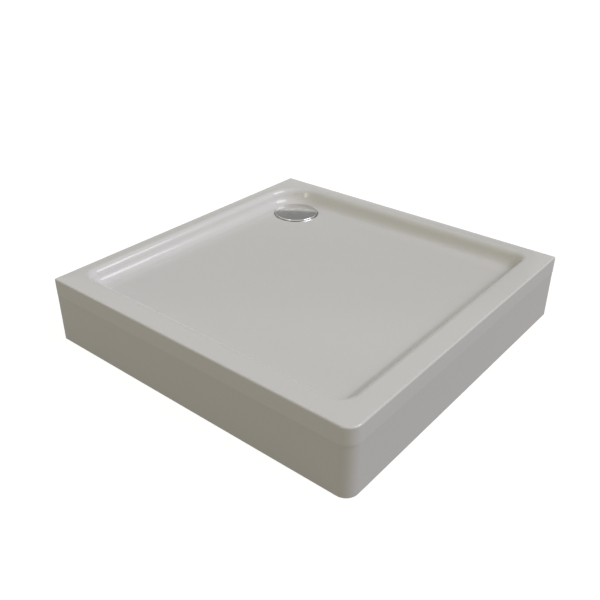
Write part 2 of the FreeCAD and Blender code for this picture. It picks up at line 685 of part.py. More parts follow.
def clip_holes(body, side, start, length, along=None):
    """Holes for the clips' screws, square to the lip, in a clip or a batten."""
    places = [along] if along is not None else [place for _, name, place in CLIPS if name == side]
    holes = new_sketch(body, "ScrewHoles", "XZ_Plane", offset=f"0 - {start}")
    for place in places:
        for sign in (-1, 1):
            draw_circle(holes, f"{place} + {sign} * clip_screw_spread", CLIP_SCREW_Z,
                        "screw_radius + hole_clearance")
    pocket(body, holes, length, reverse=True)


def batten(label, side):
    """Timber strip bonded in the angle behind the lip."""
    body = side_body(label, side)
    section = new_sketch(body, "Section", "YZ_Plane")
    draw_rounded(section, "shell_wall", BATTEN_BACK, f"{BATTEN_TOP} - batten_height", BATTEN_TOP,
                 (None, None, None, None))
    pad(body, section, f"{SIDES[side]['length']} - 2 * batten_end_gap", middle=True)
    clip_holes(body, side, BATTEN_BACK, "clip_screw_length + hole_clearance")


def panel_clip(label, side, along):
    """Folded spring strip with two tongues that grip the apron's top flange."""
    body = side_body(label, side, along)
    section = new_sketch(body, "Section", "YZ_Plane")
    under = f"({FLANGE_UNDERSIDE} - clip_clearance)"
    over = f"({APRON_TOP} + clip_clearance)"
    draw_polygon(section, (
        (BATTEN_BACK, CLIP_TOP), (BATTEN_BACK, f"{over} + clip_strip"),
        (CLIP_TIP, f"{over} + clip_strip"), (CLIP_TIP, over), (BATTEN_BACK, over),
        (BATTEN_BACK, under), (CLIP_TIP, under), (CLIP_TIP, f"{under} - clip_strip"),
        (CLIP_BACK, f"{under} - clip_strip"), (CLIP_BACK, CLIP_TOP)))
    pad(body, section, "clip_length", middle=True)
    clip_holes(body, side, f"({CLIP_BACK} + clip_strip)", "3 * clip_strip", along=0)


def clip_screws():
    """Screws that hold the clips to the battens."""
    into_front = FreeCAD.Rotation(FreeCAD.Vector(1, 0, 0), 90)
    into_side = FreeCAD.Rotation(FreeCAD.Vector(0, 1, 0), 90)
    solids = []
    for _, side, along in CLIPS:
        for sign in (-1, 1):
            place = f"({along} + {sign} * clip_screw_spread)"
            for part, radius, depth, length in (
                    ("Head", "screw_head", f"({CLIP_BACK} + screw_head_height)", "screw_head_height"),
                    ("Shank", "screw_radius", CLIP_BACK, "clip_strip + clip_screw_length")):
                if side == "front":
                    at, rotation = (place, f"{SOUTH} + {depth}", CLIP_SCREW_Z), into_front
                else:
                    at, rotation = (f"{EAST} - {depth}", place, CLIP_SCREW_Z), into_side
                solids.append(cylinder(f"ClipScrew{part}{len(solids)}", radius, length, at, rotation))
    fused("clip_screws", solids)


# ---- the waste and its trap --------------------------------------------------------------------

FLANGE_BED = f"({RECESS_FLOOR} + seal_thickness)"
FLANGE_TOP = f"({FLANGE_BED} + flange_plate)"
NECK_RADIUS = "(throat_radius + throat_wall)"
NECK_BOTTOM = f"({FLANGE_TOP} - throat_length)"
LEDGE_RADIUS = "(throat_radius - ledge_width)"
LEDGE_TOP = f"({NECK_BOTTOM} + ledge_thickness)"
COLLAR_TOP = f"({RECESS_UNDERSIDE} - seal_thickness)"
COLLAR_BOTTOM = f"({COLLAR_TOP} - trap_collar)"
TRAP_INSIDE = "(trap_radius - trap_wall)"
TRAP_BED = "(trap_floor_gap + trap_wall)"
INSERT_BOTTOM = f"({LEDGE_TOP} + seal_thickness)"
INSERT_TOP = f"({INSERT_BOTTOM} + insert_height)"
INSERT_RADIUS = "(throat_radius - fit_gap)"
CUP_RADIUS = "(throat_radius - fit_gap - insert_wall)"
COVER_BOTTOM = f"({FLANGE_TOP} + cover_gap)"
OUTLET_BORE = "(outlet_radius - outlet_wall)"
BRANCH_RADIUS = "(outlet_radius + bell_wall)"
BALL_SEAT = "(ball_radius + fit_gap)"
BELL_RADIUS = f"({BALL_SEAT} + bell_wall)"
SEAL_FRONT = "(0 - ball_seal_reach)"
SEAL_BACK = "(0 - ball_seal_reach - ball_seal_width)"
GROOVE_RADIUS = f"({BALL_SEAT} + ball_seal_groove)"
# The outlet leaves level towards the free front corner, along the trap's own +X.
OUTLET_TURN = -45


def waste_body(label):
    """Body about the waste's axis, with its own +X towards the outlet."""
    return new_body(label, WASTE_X, WASTE_Y, turn=OUTLET_TURN)


def waste_flange():
    """Ring in the recess with the threaded neck and the ledge for the insert."""
    turned(waste_body("waste_flange"), "Flange", (
        (LEDGE_RADIUS, NECK_BOTTOM), (NECK_RADIUS, NECK_BOTTOM), (NECK_RADIUS, FLANGE_BED),
        ("flange_radius", FLANGE_BED), ("flange_radius", f"{FLANGE_TOP} - flange_plate / 2"),
        ("flange_radius - flange_plate / 2", FLANGE_TOP), ("throat_radius + flange_plate / 2", FLANGE_TOP),
        ("throat_radius", f"{FLANGE_TOP} - flange_plate / 2"), ("throat_radius", LEDGE_TOP),
        (LEDGE_RADIUS, LEDGE_TOP)))


def ring(label, inner, outer, low, high):
    """Plain ring about the waste's axis."""
    turned(waste_body(label), "Ring", ((inner, low), (outer, low), (outer, high), (inner, high)))


def trap_base():
    """Disc welded under the trap's cup as its bottom."""
    turned(waste_body("trap_base"), "Disc", (
        (0, "trap_floor_gap"), ("trap_radius - trap_wall / 2", "trap_floor_gap"),
        ("trap_radius", "trap_floor_gap + trap_wall / 2"), ("trap_radius", f"{TRAP_BED} - weld_gap"),
        (0, f"{TRAP_BED} - weld_gap")))


def trap_body():
    """Wall of the trap's cup with its threaded top and a round port for the branch."""
    body = waste_body("trap_body")
    top = f"({FLANGE_BED} - fit_gap)"
    neck = "(waste_hole - fit_gap)"
    bore = f"({NECK_RADIUS} + fit_gap)"
    turned(body, "Wall", (
        (TRAP_INSIDE, TRAP_BED), ("trap_radius", TRAP_BED),
        ("trap_radius", f"{COLLAR_BOTTOM} - trap_wall"), ("collar_radius", COLLAR_BOTTOM),
        ("collar_radius", COLLAR_TOP), (neck, COLLAR_TOP), (neck, top), (bore, top),
        (bore, f"{COLLAR_BOTTOM} - trap_wall / 2"), (TRAP_INSIDE, f"{COLLAR_BOTTOM} - 2 * trap_wall")))
    port = new_sketch(body, "Port", "YZ_Plane")
    draw_circle(port, 0, "outlet_height", f"{BRANCH_RADIUS} + weld_gap")
    pocket(body, port, "trap_radius + trap_wall", reverse=True)


def outlet_body(label):
    """Body at the ball's centre, with its own +X along the outlet."""
    run = f"ball_reach * cos({-OUTLET_TURN} deg)"
    return new_body(label, f"{WASTE_X} + {run}", f"{WASTE_Y} - {run}", "outlet_height", turn=OUTLET_TURN)


def along_outlet(body, name, points, kind="Revolution"):
    """Turned form about the outlet's axis, from distance and radius pairs."""
    sketch = new_sketch(body, name, "XZ_Plane")
    draw_polygon(sketch, points)
    return revolve(body, sketch, kind, axis="H_Axis")


def outlet_branch():
    """Branch welded into the cup's side, with the bell of the ball joint and its seal's groove."""
    body = outlet_body("outlet_branch")
    root, back = "0 - ball_reach", "(0 - bell_reach - bell_wall)"
    along_outlet(body, "Branch", (
        (root, OUTLET_BORE), ("0 - bell_reach", OUTLET_BORE), ("0 - bell_reach", BALL_SEAT),
        (SEAL_BACK, BALL_SEAT), (SEAL_BACK, GROOVE_RADIUS), (SEAL_FRONT, GROOVE_RADIUS),
        (SEAL_FRONT, BALL_SEAT), ("bell_mouth", BALL_SEAT), ("bell_mouth", BELL_RADIUS),
        (f"{back} + bell_wall", BELL_RADIUS), (back, BRANCH_RADIUS), (root, BRANCH_RADIUS)))
    cup = new_sketch(body, "Cup")
    draw_circle(cup, "0 - ball_reach", 0, TRAP_INSIDE)
    pocket(body, cup, f"4 * {BRANCH_RADIUS}", middle=True)


def outlet_pipe():
    """Spigot of the outlet with a ball end, cut flat where the water enters."""
    body = outlet_body("outlet_pipe")
    ball = body.newObject("PartDesign::AdditiveSphere", "Ball")
    bind(ball, "Radius", "ball_radius")
    along_outlet(body, "Pipe", (
        (0, OUTLET_BORE), ("outlet_length", OUTLET_BORE),
        ("outlet_length", "outlet_radius - outlet_wall / 2"),
        ("outlet_length - outlet_wall", "outlet_radius"), (0, "outlet_radius")))
    cut = new_sketch(body, "Front", "YZ_Plane", offset="0 - ball_cut")
    draw_circle(cut, 0, 0, "2 * ball_radius")
    pocket(body, cut, "2 * ball_radius")
    hollow = new_sketch(body, "Bore", "YZ_Plane", offset="2 * ball_radius")
    draw_circle(hollow, 0, 0, OUTLET_BORE)
    pocket(body, hollow, "4 * ball_radius")


def outlet_seal():
    """Seal in the bell's groove round the ball."""
    inner = "sqrt(ball_radius * ball_radius - ball_seal_reach * ball_seal_reach) + fit_gap"
    outer = f"{GROOVE_RADIUS} - weld_gap"
    along_outlet(outlet_body("outlet_seal"), "Ring", (
        (SEAL_BACK, inner), (SEAL_FRONT, inner), (SEAL_FRONT, outer), (SEAL_BACK, outer)))


def outlet_nut():
    """Ribbed union nut whose coned lip keeps the ball in the bell."""
    body = outlet_body("outlet_nut")
    thread = f"({BELL_RADIUS} + fit_gap)"
    outer = f"({thread} + nut_wall)"
    lip = "(sqrt(ball_radius * ball_radius - nut_lip * nut_lip) + 2 * fit_gap)"
    front, shoulder = "(nut_lip + nut_wall)", "(nut_lip - nut_wall / 2)"
    along_outlet(body, "Nut", (
        ("0 - nut_overlap", thread), ("bell_mouth + fit_gap", thread),
        ("bell_mouth + fit_gap", "ball_radius + 2 * fit_gap"), ("nut_lip", lip), (front, lip),
        (front, f"{outer} - nut_wall"), (shoulder, outer), ("0 - nut_overlap", outer)))
    rib = new_sketch(body, "Grip", "YZ_Plane", offset="0 - nut_overlap")
    draw_rounded(rib, "0 - nut_wall / 2", "nut_wall / 2", f"{outer} - nut_wall / 3",
                 f"{outer} + grip_height", (None, None, None, None))
    pattern = copies(body, pad(body, rib, f"nut_overlap + {shoulder}"), "grip_ribs", "Grips")
    pattern.Axis = (origin_plane(body, "X_Axis"), [""])


def trap_insert():
    """Cup that hangs on the ledge, with two finger tabs to lift it by."""
    body = waste_body("trap_insert")
    bed = f"({INSERT_BOTTOM} + insert_wall)"
    hole = "(dip_radius + weld_gap)"
    turned(body, "Insert", (
        (hole, INSERT_BOTTOM), (INSERT_RADIUS, INSERT_BOTTOM), (INSERT_RADIUS, INSERT_TOP),
        (CUP_RADIUS, INSERT_TOP), (CUP_RADIUS, f"{bed} + insert_fall"), (hole, bed)))
    tabs = new_sketch(body, "Tabs", offset=f"{INSERT_TOP} - tab_thickness")
    outer = f"({CUP_RADIUS} + insert_wall / 2)"
    inner = f"({CUP_RADIUS} - tab_reach)"
    for low, high in ((f"0 - {outer}", f"0 - {inner}"), (inner, outer)):
        draw_rounded(tabs, "0 - finger_tab / 2", "finger_tab / 2", low, high, (None,) * 4)
    pad(body, tabs, "tab_thickness")


def dip_tube():
    """Dip tube welded into the bottom of the insert's cup."""
    low = f"({TRAP_BED} + dip_floor_gap)"
    high = f"({INSERT_BOTTOM} + insert_wall)"
    ring("dip_tube", "dip_radius - insert_wall", "dip_radius", low, high)


def cover_legs():
    """Plastic ring under the cover whose legs plug into the insert's cup."""
    body = waste_body("cover_legs")
    outer = f"({CUP_RADIUS} - fit_gap)"
    inner = f"({outer} - leg_ring_wall)"
    low = f"({COVER_BOTTOM} - leg_ring_height)"
    turned(body, "Ring", ((inner, low), (outer, low), (outer, COVER_BOTTOM), (inner, COVER_BOTTOM)))
    foot = f"({INSERT_BOTTOM} + insert_wall + leg_gap)"
    leg = new_sketch(body, "Leg", offset=foot)
    draw_rounded(leg, f"{inner} + hole_clearance", f"{outer} - fit_gap", "0 - leg_width / 2",
                 "leg_width / 2", (None, None, None, None))
    copies(body, pad(body, leg, f"{low} + leg_ring_height / 2 - {foot}"), "leg_count", "Legs")


def waste_cover():
    """Chromed disc with a rounded edge."""
    body = waste_body("waste_cover")
    top = f"({COVER_BOTTOM} + cover_thickness)"
    turned(body, "Disc", (
        (0, COVER_BOTTOM), ("cover_radius", COVER_BOTTOM), ("cover_radius", top), (0, top)))
    height = number(top)
    round_edges(body, "EdgeRound", "cover_round", lambda edge: (
        edge.BoundBox.XLength > number("cover_radius") and abs(edge.BoundBox.ZMin - height) < 0.01))


# ---- the whole tray ----------------------------------------------------------------------------

tray_shell()
base_board()
for foot_name in FEET:
    foot_bracket(foot_name)
    foot_spindle(foot_name)
    foot_pad(foot_name)
foot_lock_nuts()
bracket_screws()

apron_panel()
batten("front_batten", "front")
batten("side_batten", "side")
for clip in CLIPS:
    panel_clip(*clip)
clip_screws()

waste_flange()
ring("flange_gasket", "waste_hole", "flange_radius - fit_gap", RECESS_FLOOR, FLANGE_BED)
ring("trap_gasket", "waste_hole", "collar_radius - fit_gap", COLLAR_TOP, RECESS_UNDERSIDE)
trap_body()
trap_base()
outlet_branch()
outlet_seal()
outlet_nut()
outlet_pipe()
trap_insert()
dip_tube()
ring("insert_seal", f"{LEDGE_RADIUS} + fit_gap", f"{INSERT_RADIUS} - fit_gap", LEDGE_TOP, INSERT_BOTTOM)
cover_legs()
waste_cover()
doc.recompute()

failed = [item.Label for item in doc.Objects if {"Invalid", "Error"} & set(item.State)]
if failed:
    raise ValueError(f"these did not build: {failed}")

nodes = [item for item in doc.Objects if item.TypeId in ("PartDesign::Body", "Part::MultiFuse")]
os.makedirs("parts", exist_ok=True)
for node in nodes:
    if node.Shape.isNull() or not node.Shape.isValid():
        raise ValueError(f"{node.Label} has no sound shape")
    node.Shape.exportStep(f"parts/{node.Label}.step")
    print(f"{node.Label}: {len(node.Shape.Solids)} solids, {node.Shape.Volume / 1000:.1f} cm3")
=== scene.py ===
"""Square corner shower tray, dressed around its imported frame.

Every visible surface is modelled or finished here. The frame's nodes keep their places, and
everything is in metres in the frame's own coordinates: +Z up, the walls at -X and +Y, the open
sides at +X and -Y, and the waste in the corner between the walls.
"""
import logging
import math
from dataclasses import dataclass, field
from enum import Enum
from typing import Callable, Iterator, Sequence

import bmesh
import bpy
from mathutils import Matrix, Vector


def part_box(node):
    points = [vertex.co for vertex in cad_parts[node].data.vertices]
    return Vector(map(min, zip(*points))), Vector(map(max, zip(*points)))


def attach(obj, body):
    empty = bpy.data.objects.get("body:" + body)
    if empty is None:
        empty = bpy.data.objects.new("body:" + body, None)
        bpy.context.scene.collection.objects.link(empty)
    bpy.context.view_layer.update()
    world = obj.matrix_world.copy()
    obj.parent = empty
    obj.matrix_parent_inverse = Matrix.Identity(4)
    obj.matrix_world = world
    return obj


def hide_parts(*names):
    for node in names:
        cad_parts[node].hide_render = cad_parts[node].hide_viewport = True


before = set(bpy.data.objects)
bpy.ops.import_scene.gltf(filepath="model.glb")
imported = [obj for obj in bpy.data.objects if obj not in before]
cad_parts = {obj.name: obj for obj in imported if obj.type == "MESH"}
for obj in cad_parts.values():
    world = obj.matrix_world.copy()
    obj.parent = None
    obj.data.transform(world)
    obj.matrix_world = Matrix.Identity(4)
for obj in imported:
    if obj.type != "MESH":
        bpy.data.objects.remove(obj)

log = logging.getLogger("tray")
MM = 0.001
NEAR = 0.01 * MM
Point = tuple[float, float, float]
Pair = tuple[float, float]
Colour = tuple[float, float, float]
Piece = bpy.types.Object
Material = bpy.types.Material
Socket = bpy.types.NodeSocket


# ---- modelling helpers -------------------------------------------------------------------------

def fresh() -> None:
    """Leave edit mode and deselect everything, so that an operator acts on nothing old."""
    if bpy.context.object is not None and bpy.context.object.mode != "OBJECT":
        bpy.ops.object.mode_set(mode="OBJECT")
    bpy.ops.object.select_all(action="DESELECT")


def only(piece: Piece) -> None:
    """Select one object and nothing else, and make it active."""
    fresh()
    piece.select_set(True)
    bpy.context.view_layer.objects.active = piece


def edit(piece: Piece, action: str = "DESELECT") -> None:
    """Open an object for editing, with nothing in it selected, or everything."""
    only(piece)
    bpy.ops.object.mode_set(mode="EDIT")
    bpy.ops.mesh.select_all(action=action)


class Part(Enum):
    """What a selection picks."""

    VERTS = "VERT"
    EDGES = "EDGE"
    FACES = "FACE"


def pick(piece: Piece, part: Part, wanted: Callable[[Sequence[Vector]], bool],
         border: bool = False) -> None:
    """Select what a test accepts in the mesh that is being edited.

    Args:
        piece: The object in edit mode.
        part: Whether vertices, edges or faces are tested.
        wanted: Test on the places of an element's vertices.
        border: Whether only what lies on an open border counts.
    """
    bpy.ops.mesh.select_all(action="DESELECT")
    bpy.ops.mesh.select_mode(type=part.value)
    mesh = bmesh.from_edit_mesh(piece.data)
    for element in {Part.VERTS: mesh.verts, Part.EDGES: mesh.edges, Part.FACES: mesh.faces}[part]:
        spots = [vert.co for vert in getattr(element, "verts", [element])]
        if wanted(spots) and (not border or element.is_boundary):
            element.select_set(True)
    bmesh.update_edit_mesh(piece.data)


def extrude(x: float = 0.0, y: float = 0.0, z: float = 0.0) -> None:
    """Extrude what is selected, in one region, and move it on."""
    bpy.ops.mesh.extrude_region_move(TRANSFORM_OT_translate={"value": (x, y, z)})


def arc(turn: float, steps: int) -> Iterator[Pair]:
    """Walk along an arc of radius 1 that starts straight on.

    Args:
        turn: Angle of the arc.
        steps: How many steps it takes.

    Yields:
        How far on and how far aside each step goes.
    """
    for step in range(steps):
        start, end = (turn * part / steps for part in (step, step + 1))
        yield math.sin(end) - math.sin(start), math.cos(start) - math.cos(end)


def linked(name: str, data: bpy.types.ID) -> Piece:
    """Add an object to the scene."""
    thing = bpy.data.objects.new(name, data)
    bpy.context.scene.collection.objects.link(thing)
    return thing


def round_box(node: str) -> tuple[Vector, Vector, Vector, float]:
    """Box of a round upright node, the foot of its axis, and its radius."""
    low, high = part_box(node)
    return low, high, Vector(((low.x + high.x) / 2, (low.y + high.y) / 2, 0)), (high.x - low.x) / 2


def settle(piece: Piece) -> Piece:
    """Put a finished object at the origin, unturned and unscaled, with its place in its mesh."""
    only(piece)
    bpy.ops.object.transform_apply(location=True, rotation=True, scale=True)
    return piece


def named(piece: Piece, name: str) -> Piece:
    """Give an object and its mesh one name."""
    piece.name = name
    piece.data.name = name
    return piece


def apply_modifier(piece: Piece, kind: str, **settings: object) -> None:
    """Add a modifier with settings and apply it.

    Args:
        piece: The object that takes the modifier.
        kind: Blender's type of modifier.
        settings: Values of its properties.
    """
    only(piece)
    modifier = piece.modifiers.new(kind.title(), kind)
    for key, value in settings.items():
        setattr(modifier, key, value)
    bpy.ops.object.modifier_apply(modifier=modifier.name)


def smooth(piece: Piece, degrees: float = 32.0) -> None:
    """Shade smooth up to an angle, with flat faces kept flat right up to their rounds."""
    only(piece)
    bpy.ops.object.shade_smooth_by_angle(angle=math.radians(degrees))
    apply_modifier(piece, "WEIGHTED_NORMAL", mode="FACE_AREA_WITH_ANGLE", weight=100,
                   keep_sharp=True)


def outward(piece: Piece) -> None:
    """Merge doubles and turn every face outwards."""
    edit(piece, "SELECT")
    bpy.ops.mesh.remove_doubles(threshold=0.005 * MM)
    bpy.ops.mesh.normals_make_consistent(inside=False)
    fresh()


def clean(piece: Piece) -> None:
    """Remove the slivers that a boolean leaves, then turn every face outwards."""
    edit(piece, "SELECT")
    bpy.ops.mesh.remove_doubles(threshold=NEAR)
    bpy.ops.mesh.dissolve_degenerate(threshold=NEAR)
    outward(piece)


def soften(piece: Piece, width: float, segments: int = 2, degrees: float = 35.0) -> None:
    """Round every edge that is sharper than an angle."""
    apply_modifier(piece, "BEVEL", width=width, segments=segments, limit_method="ANGLE",
                   angle_limit=math.radians(degrees), use_clamp_overlap=True)


def chain(points: Sequence[Point]) -> Piece:
    """Open line of edges through points, left in edit mode with its last vertex selected.

    Args:
        points: Places of the vertices, in order.

    Returns:
        The object that is being edited.
    """
    fresh()
    bpy.ops.mesh.primitive_plane_add(size=MM, location=points[0])
    line = settle(bpy.context.object)
    edit(line)
    bpy.ops.mesh.select_mode(type="VERT")
    bpy.ops.mesh.select_all(action="SELECT")
    bpy.ops.mesh.merge(type="CENTER")
    for start, end in zip(points, points[1:]):
        step = Vector(end) - Vector(start)
        bpy.ops.mesh.extrude_vertices_move(TRANSFORM_OT_translate={"value": tuple(step)})
    return line


def turned(name: str, centre: Vector, profile: Sequence[Pair], steps: int = 72,
           edge: float = 0.0) -> Piece:
    """Turn a profile about an upright axis.

    Args:
        name: Name of the piece.
        centre: A point of the axis.
        profile: Radius and height pairs round the section.
        steps: Facets round the axis.
        edge: Radius of the rounds on its edges, or nothing.

    Returns:
        The closed piece.
    """
    piece = chain([(centre.x + radius, centre.y, height) for radius, height in profile])
    first, last = profile[0], profile[-1]
    if first[0] > 0 or last[0] > 0:
        ends = [Vector((centre.x + radius, centre.y, height)) for radius, height in (first, last)]
        pick(piece, Part.VERTS,
             lambda spots: min((spots[0] - end).length for end in ends) < NEAR)
        bpy.ops.mesh.edge_face_add()
    bpy.ops.mesh.select_all(action="SELECT")
    bpy.ops.mesh.spin(steps=steps, angle=2 * math.pi, center=(centre.x, centre.y, 0),
                      axis=(0, 0, 1))
    outward(piece)
    if edge:
        soften(piece, edge)
    smooth(piece)
    return named(piece, name)


def drawn(name: str, points: Sequence[Point], run: Point, edge: float = 0.0) -> Piece:
    """Extrude a closed outline.

    Args:
        name: Name of the piece.
        points: Corners of the outline, in order.
        run: How far and where to it is extruded.
        edge: Radius of the rounds on its edges, or nothing.

    Returns:
        The closed piece.
    """
    piece = chain(points)
    bpy.ops.mesh.select_all(action="SELECT")
    bpy.ops.mesh.edge_face_add()
    extrude(*run)
    outward(piece)
    if edge:
        soften(piece, edge)
    smooth(piece)
    return named(piece, name)


def merged(target: Piece, other: Piece, operation: str) -> None:
    """Join, cut or intersect a piece with another, which is then removed."""
    apply_modifier(target, "BOOLEAN", operation=operation, object=other, solver="EXACT")
    bpy.data.objects.remove(other)


def joined(target: Piece, other: Piece) -> None:
    """Make one object of two, as parts of one moulding or one turned part."""
    only(target)
    other.select_set(True)
    bpy.ops.object.join()


def copied(piece: Piece, name: str, place: Matrix) -> Piece:
    """Copy a piece with its own mesh to another place.

    Args:
        piece: The model.
        name: Name of the copy.
        place: Where the model goes.

    Returns:
        The settled copy.
    """
    twin = linked(name, piece.data.copy())
    twin.matrix_world = place
    return named(settle(twin), name)


def traced(node: str, name: str, degrees: float = 32.0, edge: float = 0.0) -> Piece:
    """Smooth-shaded copy of a frame node, merged first.

    Args:
        node: The frame node to copy.
        name: Name of the new piece.
        degrees: Angle up to which its faces shade smooth.
        edge: Radius of the rounds on its edges, or nothing.

    Returns:
        The new piece, in the node's place.
    """
    piece = linked(name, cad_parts[node].data.copy())
    piece.data.materials.clear()
    edit(piece, "SELECT")
    bpy.ops.mesh.remove_doubles(threshold=0.002 * MM)
    bpy.ops.mesh.dissolve_limited(angle_limit=math.radians(0.4))
    fresh()
    if edge:
        soften(piece, edge)
    smooth(piece, degrees)
    return named(piece, name)


def tie(piece: Piece, body: str, slot: str, *nodes: str) -> None:
    """Tie a finished piece to its body and hide the frame nodes that it replaces.

    Args:
        piece: The finished object.
        body: The body that it rides on.
        slot: Not used.
        nodes: Frame nodes that it replaces.
    """
    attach(piece, body)
    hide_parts(*nodes)
    log.info("%s rides on %s, %d faces", piece.name, body, len(piece.data.polygons))


def coat(piece: Piece, finish: Material) -> None:
    """Give a piece one finish."""
    piece.data.materials.clear()
    piece.data.materials.append(finish)


def dress(piece: Piece, body: str, finish: Material, slot: str, *nodes: str) -> None:
    """Give a piece its finish, then tie it to its body and the nodes that it replaces."""
    coat(piece, finish)
    tie(piece, body, slot, *nodes)


def repaint(node: str, finish: Material) -> None:
    """Give a frame node that stays as it is its finish."""
    coat(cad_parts[node], finish)
    log.info("%s keeps its solid, in %s", node, finish.name)


# ---- node groups that several finishes share ---------------------------------------------------

class Graph:
    """Adds nodes to a tree and joins them."""

    def __init__(self, tree: bpy.types.NodeTree) -> None:
        """Work on a node tree."""
        self.tree = tree

    def add(self, kind: str, **inputs: object) -> bpy.types.Node:
        """Add a node.

        Args:
            kind: The node's type without the prefix Shader.
            inputs: Values or outputs for its inputs, by name with spaces as underscores, and
                properties of the node itself.

        Returns:
            The node.
        """
        node = self.tree.nodes.new(kind if kind.startswith("Node") else "ShaderNode" + kind)
        for key, value in inputs.items():
            if hasattr(node, key) and not isinstance(value, Socket):
                setattr(node, key, value)
                continue
            self.feed(node.inputs[key.replace("_", " ")], value)
        return node

    def feed(self, socket: Socket, value: object) -> None:
        """Link an output to an input, or set the input's value."""
        if isinstance(value, Socket):
            self.tree.links.new(value, socket)
        elif isinstance(value, (tuple, list)) and len(value) == 3 and socket.type == "RGBA":
            socket.default_value = (*value, 1.0)
        else:
            socket.default_value = value

    def math(self, operation: str, first: object, second: object = 0.0) -> Socket:
        """Result of a sum on two values or outputs."""
        node = self.tree.nodes.new("ShaderNodeMath")
        node.operation = operation
        self.feed(node.inputs[0], first)
        self.feed(node.inputs[1], second)
        return node.outputs[0]

    def mix(self, factor: object, first: object, second: object) -> Socket:
        """Colour between two colours."""
        node = self.tree.nodes.new("ShaderNodeMix")
        node.data_type = "RGBA"
        self.feed(node.inputs[0], factor)
        self.feed(node.inputs[6], first)
        self.feed(node.inputs[7], second)
        return node.outputs[2]

    def span(self, value: object, low: float, high: float, start: object = 0.0,
             end: object = 1.0) -> Socket:
        """Value moved from one range to another, and kept inside it."""
        return self.add("MapRange", Value=value, From_Min=low, From_Max=high, To_Min=start,
                        To_Max=end).outputs["Result"]

    def noise(self, vector: object, scale: object, detail: float) -> Socket:
        """Value of a noise pattern."""
        return self.add("TexNoise", Vector=vector, Scale=scale, Detail=detail).outputs[0]


def new_group(name: str, inputs: dict[str, object], outputs: dict[str, str]) -> tuple[
        Graph, bpy.types.NodeOutputs, bpy.types.NodeInputs]:
    """Start a shader node group with named sockets.

    Args:
        name: Name of the group.
        inputs: First values of its inputs, by name.
        outputs: Kinds of its outputs, by name.

    Returns:
        The group's graph, what it is given, and where its results go.
    """
    group = bpy.data.node_groups.new(name, "ShaderNodeTree")
    for key, value in inputs.items():
        kind = "Float" if isinstance(value, float) else ("Vector" if key == "Vector" else "Color")
        socket = group.interface.new_socket(key, in_out="INPUT", socket_type="NodeSocket" + kind)
        if kind == "Color":
            socket.default_value = (*value, 1.0)
        elif kind == "Float":
            socket.default_value = value
    for key, kind in outputs.items():
        group.interface.new_socket(key, in_out="OUTPUT", socket_type="NodeSocket" + kind)
    graph = Graph(group)
    return graph, graph.add("NodeGroupInput").outputs, graph.add("NodeGroupOutput").inputs


def make_tone() -> bpy.types.NodeTree:
    """Group that lets a colour vary softly over a surface."""
    graph, given, result = new_group(
        "tone", {"Vector": (), "Colour": (0.5, 0.5, 0.5), "Other": (0.4, 0.4, 0.4),
                 "Scale": 10.0, "Amount": 0.5}, {"Colour": "Color", "Mask": "Float"})
    wide = graph.noise(given["Vector"], given["Scale"], detail=2.0)
    mask = graph.math("MULTIPLY", graph.span(wide, 0.25, 0.8), given["Amount"])
    graph.feed(result["Colour"], graph.mix(mask, given["Colour"], given["Other"]))
    graph.feed(result["Mask"], mask)
    return graph.tree


def make_grain() -> bpy.types.NodeTree:
    """Group for the height of a moulded or cast surface: fine grain on a slow ripple."""
    graph, given, result = new_group(
        "grain", {"Vector": (), "Scale": 400.0, "Ripple_Scale": 12.0, "Ripple": 0.5},
        {"Height": "Float"})
    fine = graph.noise(given["Vector"], given["Scale"], detail=2.0)
    slow = graph.noise(given["Vector"], given["Ripple_Scale"], detail=1.0)
    share = graph.math("SUBTRACT", 1.0, given["Ripple"])
    graph.feed(result["Height"], graph.math(
        "ADD", graph.math("MULTIPLY", fine, share), graph.math("MULTIPLY", slow, given["Ripple"])))
    return graph.tree


def make_wear() -> bpy.types.NodeTree:
    """Group for the mask of rubbed edges, broken up by noise."""
    graph, given, result = new_group(
        "edge wear", {"Vector": (), "Scale": 120.0, "Amount": 0.6}, {"Mask": "Float"})
    edge = graph.span(graph.add("NewGeometry").outputs["Pointiness"], 0.51, 0.58)
    rough = graph.span(graph.noise(given["Vector"], given["Scale"], detail=3.0), 0.4, 0.62)
    graph.feed(result["Mask"], graph.math(
        "MULTIPLY", graph.math("MULTIPLY", edge, rough), given["Amount"]))
    return graph.tree


def make_dust() -> bpy.types.NodeTree:
    """Group for the mask of dust that has settled on what faces up."""
    graph, given, result = new_group(
        "dust", {"Vector": (), "Scale": 30.0, "Amount": 0.3}, {"Mask": "Float"})
    parts = graph.add("SeparateXYZ", Vector=graph.add("NewGeometry").outputs["Normal"])
    up = graph.span(parts.outputs["Z"], 0.3, 1.0)
    cloud = graph.span(graph.noise(given["Vector"], given["Scale"], detail=5.0), 0.42, 0.75)
    graph.feed(result["Mask"], graph.math(
        "MULTIPLY", graph.math("MULTIPLY", up, cloud), given["Amount"]))
    return graph.tree


def make_scratches() -> bpy.types.NodeTree:
    """Group for the height of fine lines along a mapped X axis."""
    graph, given, result = new_group(
        "scratches", {"Vector": (), "Scale": 900.0, "Length": 0.03}, {"Height": "Float"})
    stretch = graph.add("CombineXYZ", X=given["Length"], Y=1.0, Z=1.0)
    along = graph.add("VectorMath", operation="MULTIPLY")
    graph.feed(along.inputs[0], given["Vector"])
    graph.feed(along.inputs[1], stretch.outputs[0])
    graph.feed(result["Height"], graph.noise(along.outputs[0], given["Scale"], detail=4.0))
    return graph.tree


# ---- finishes ----------------------------------------------------------------------------------

GROUPS = {"tone": make_tone(), "grain": make_grain(), "wear": make_wear(), "dust": make_dust(),
          "scratches": make_scratches()}


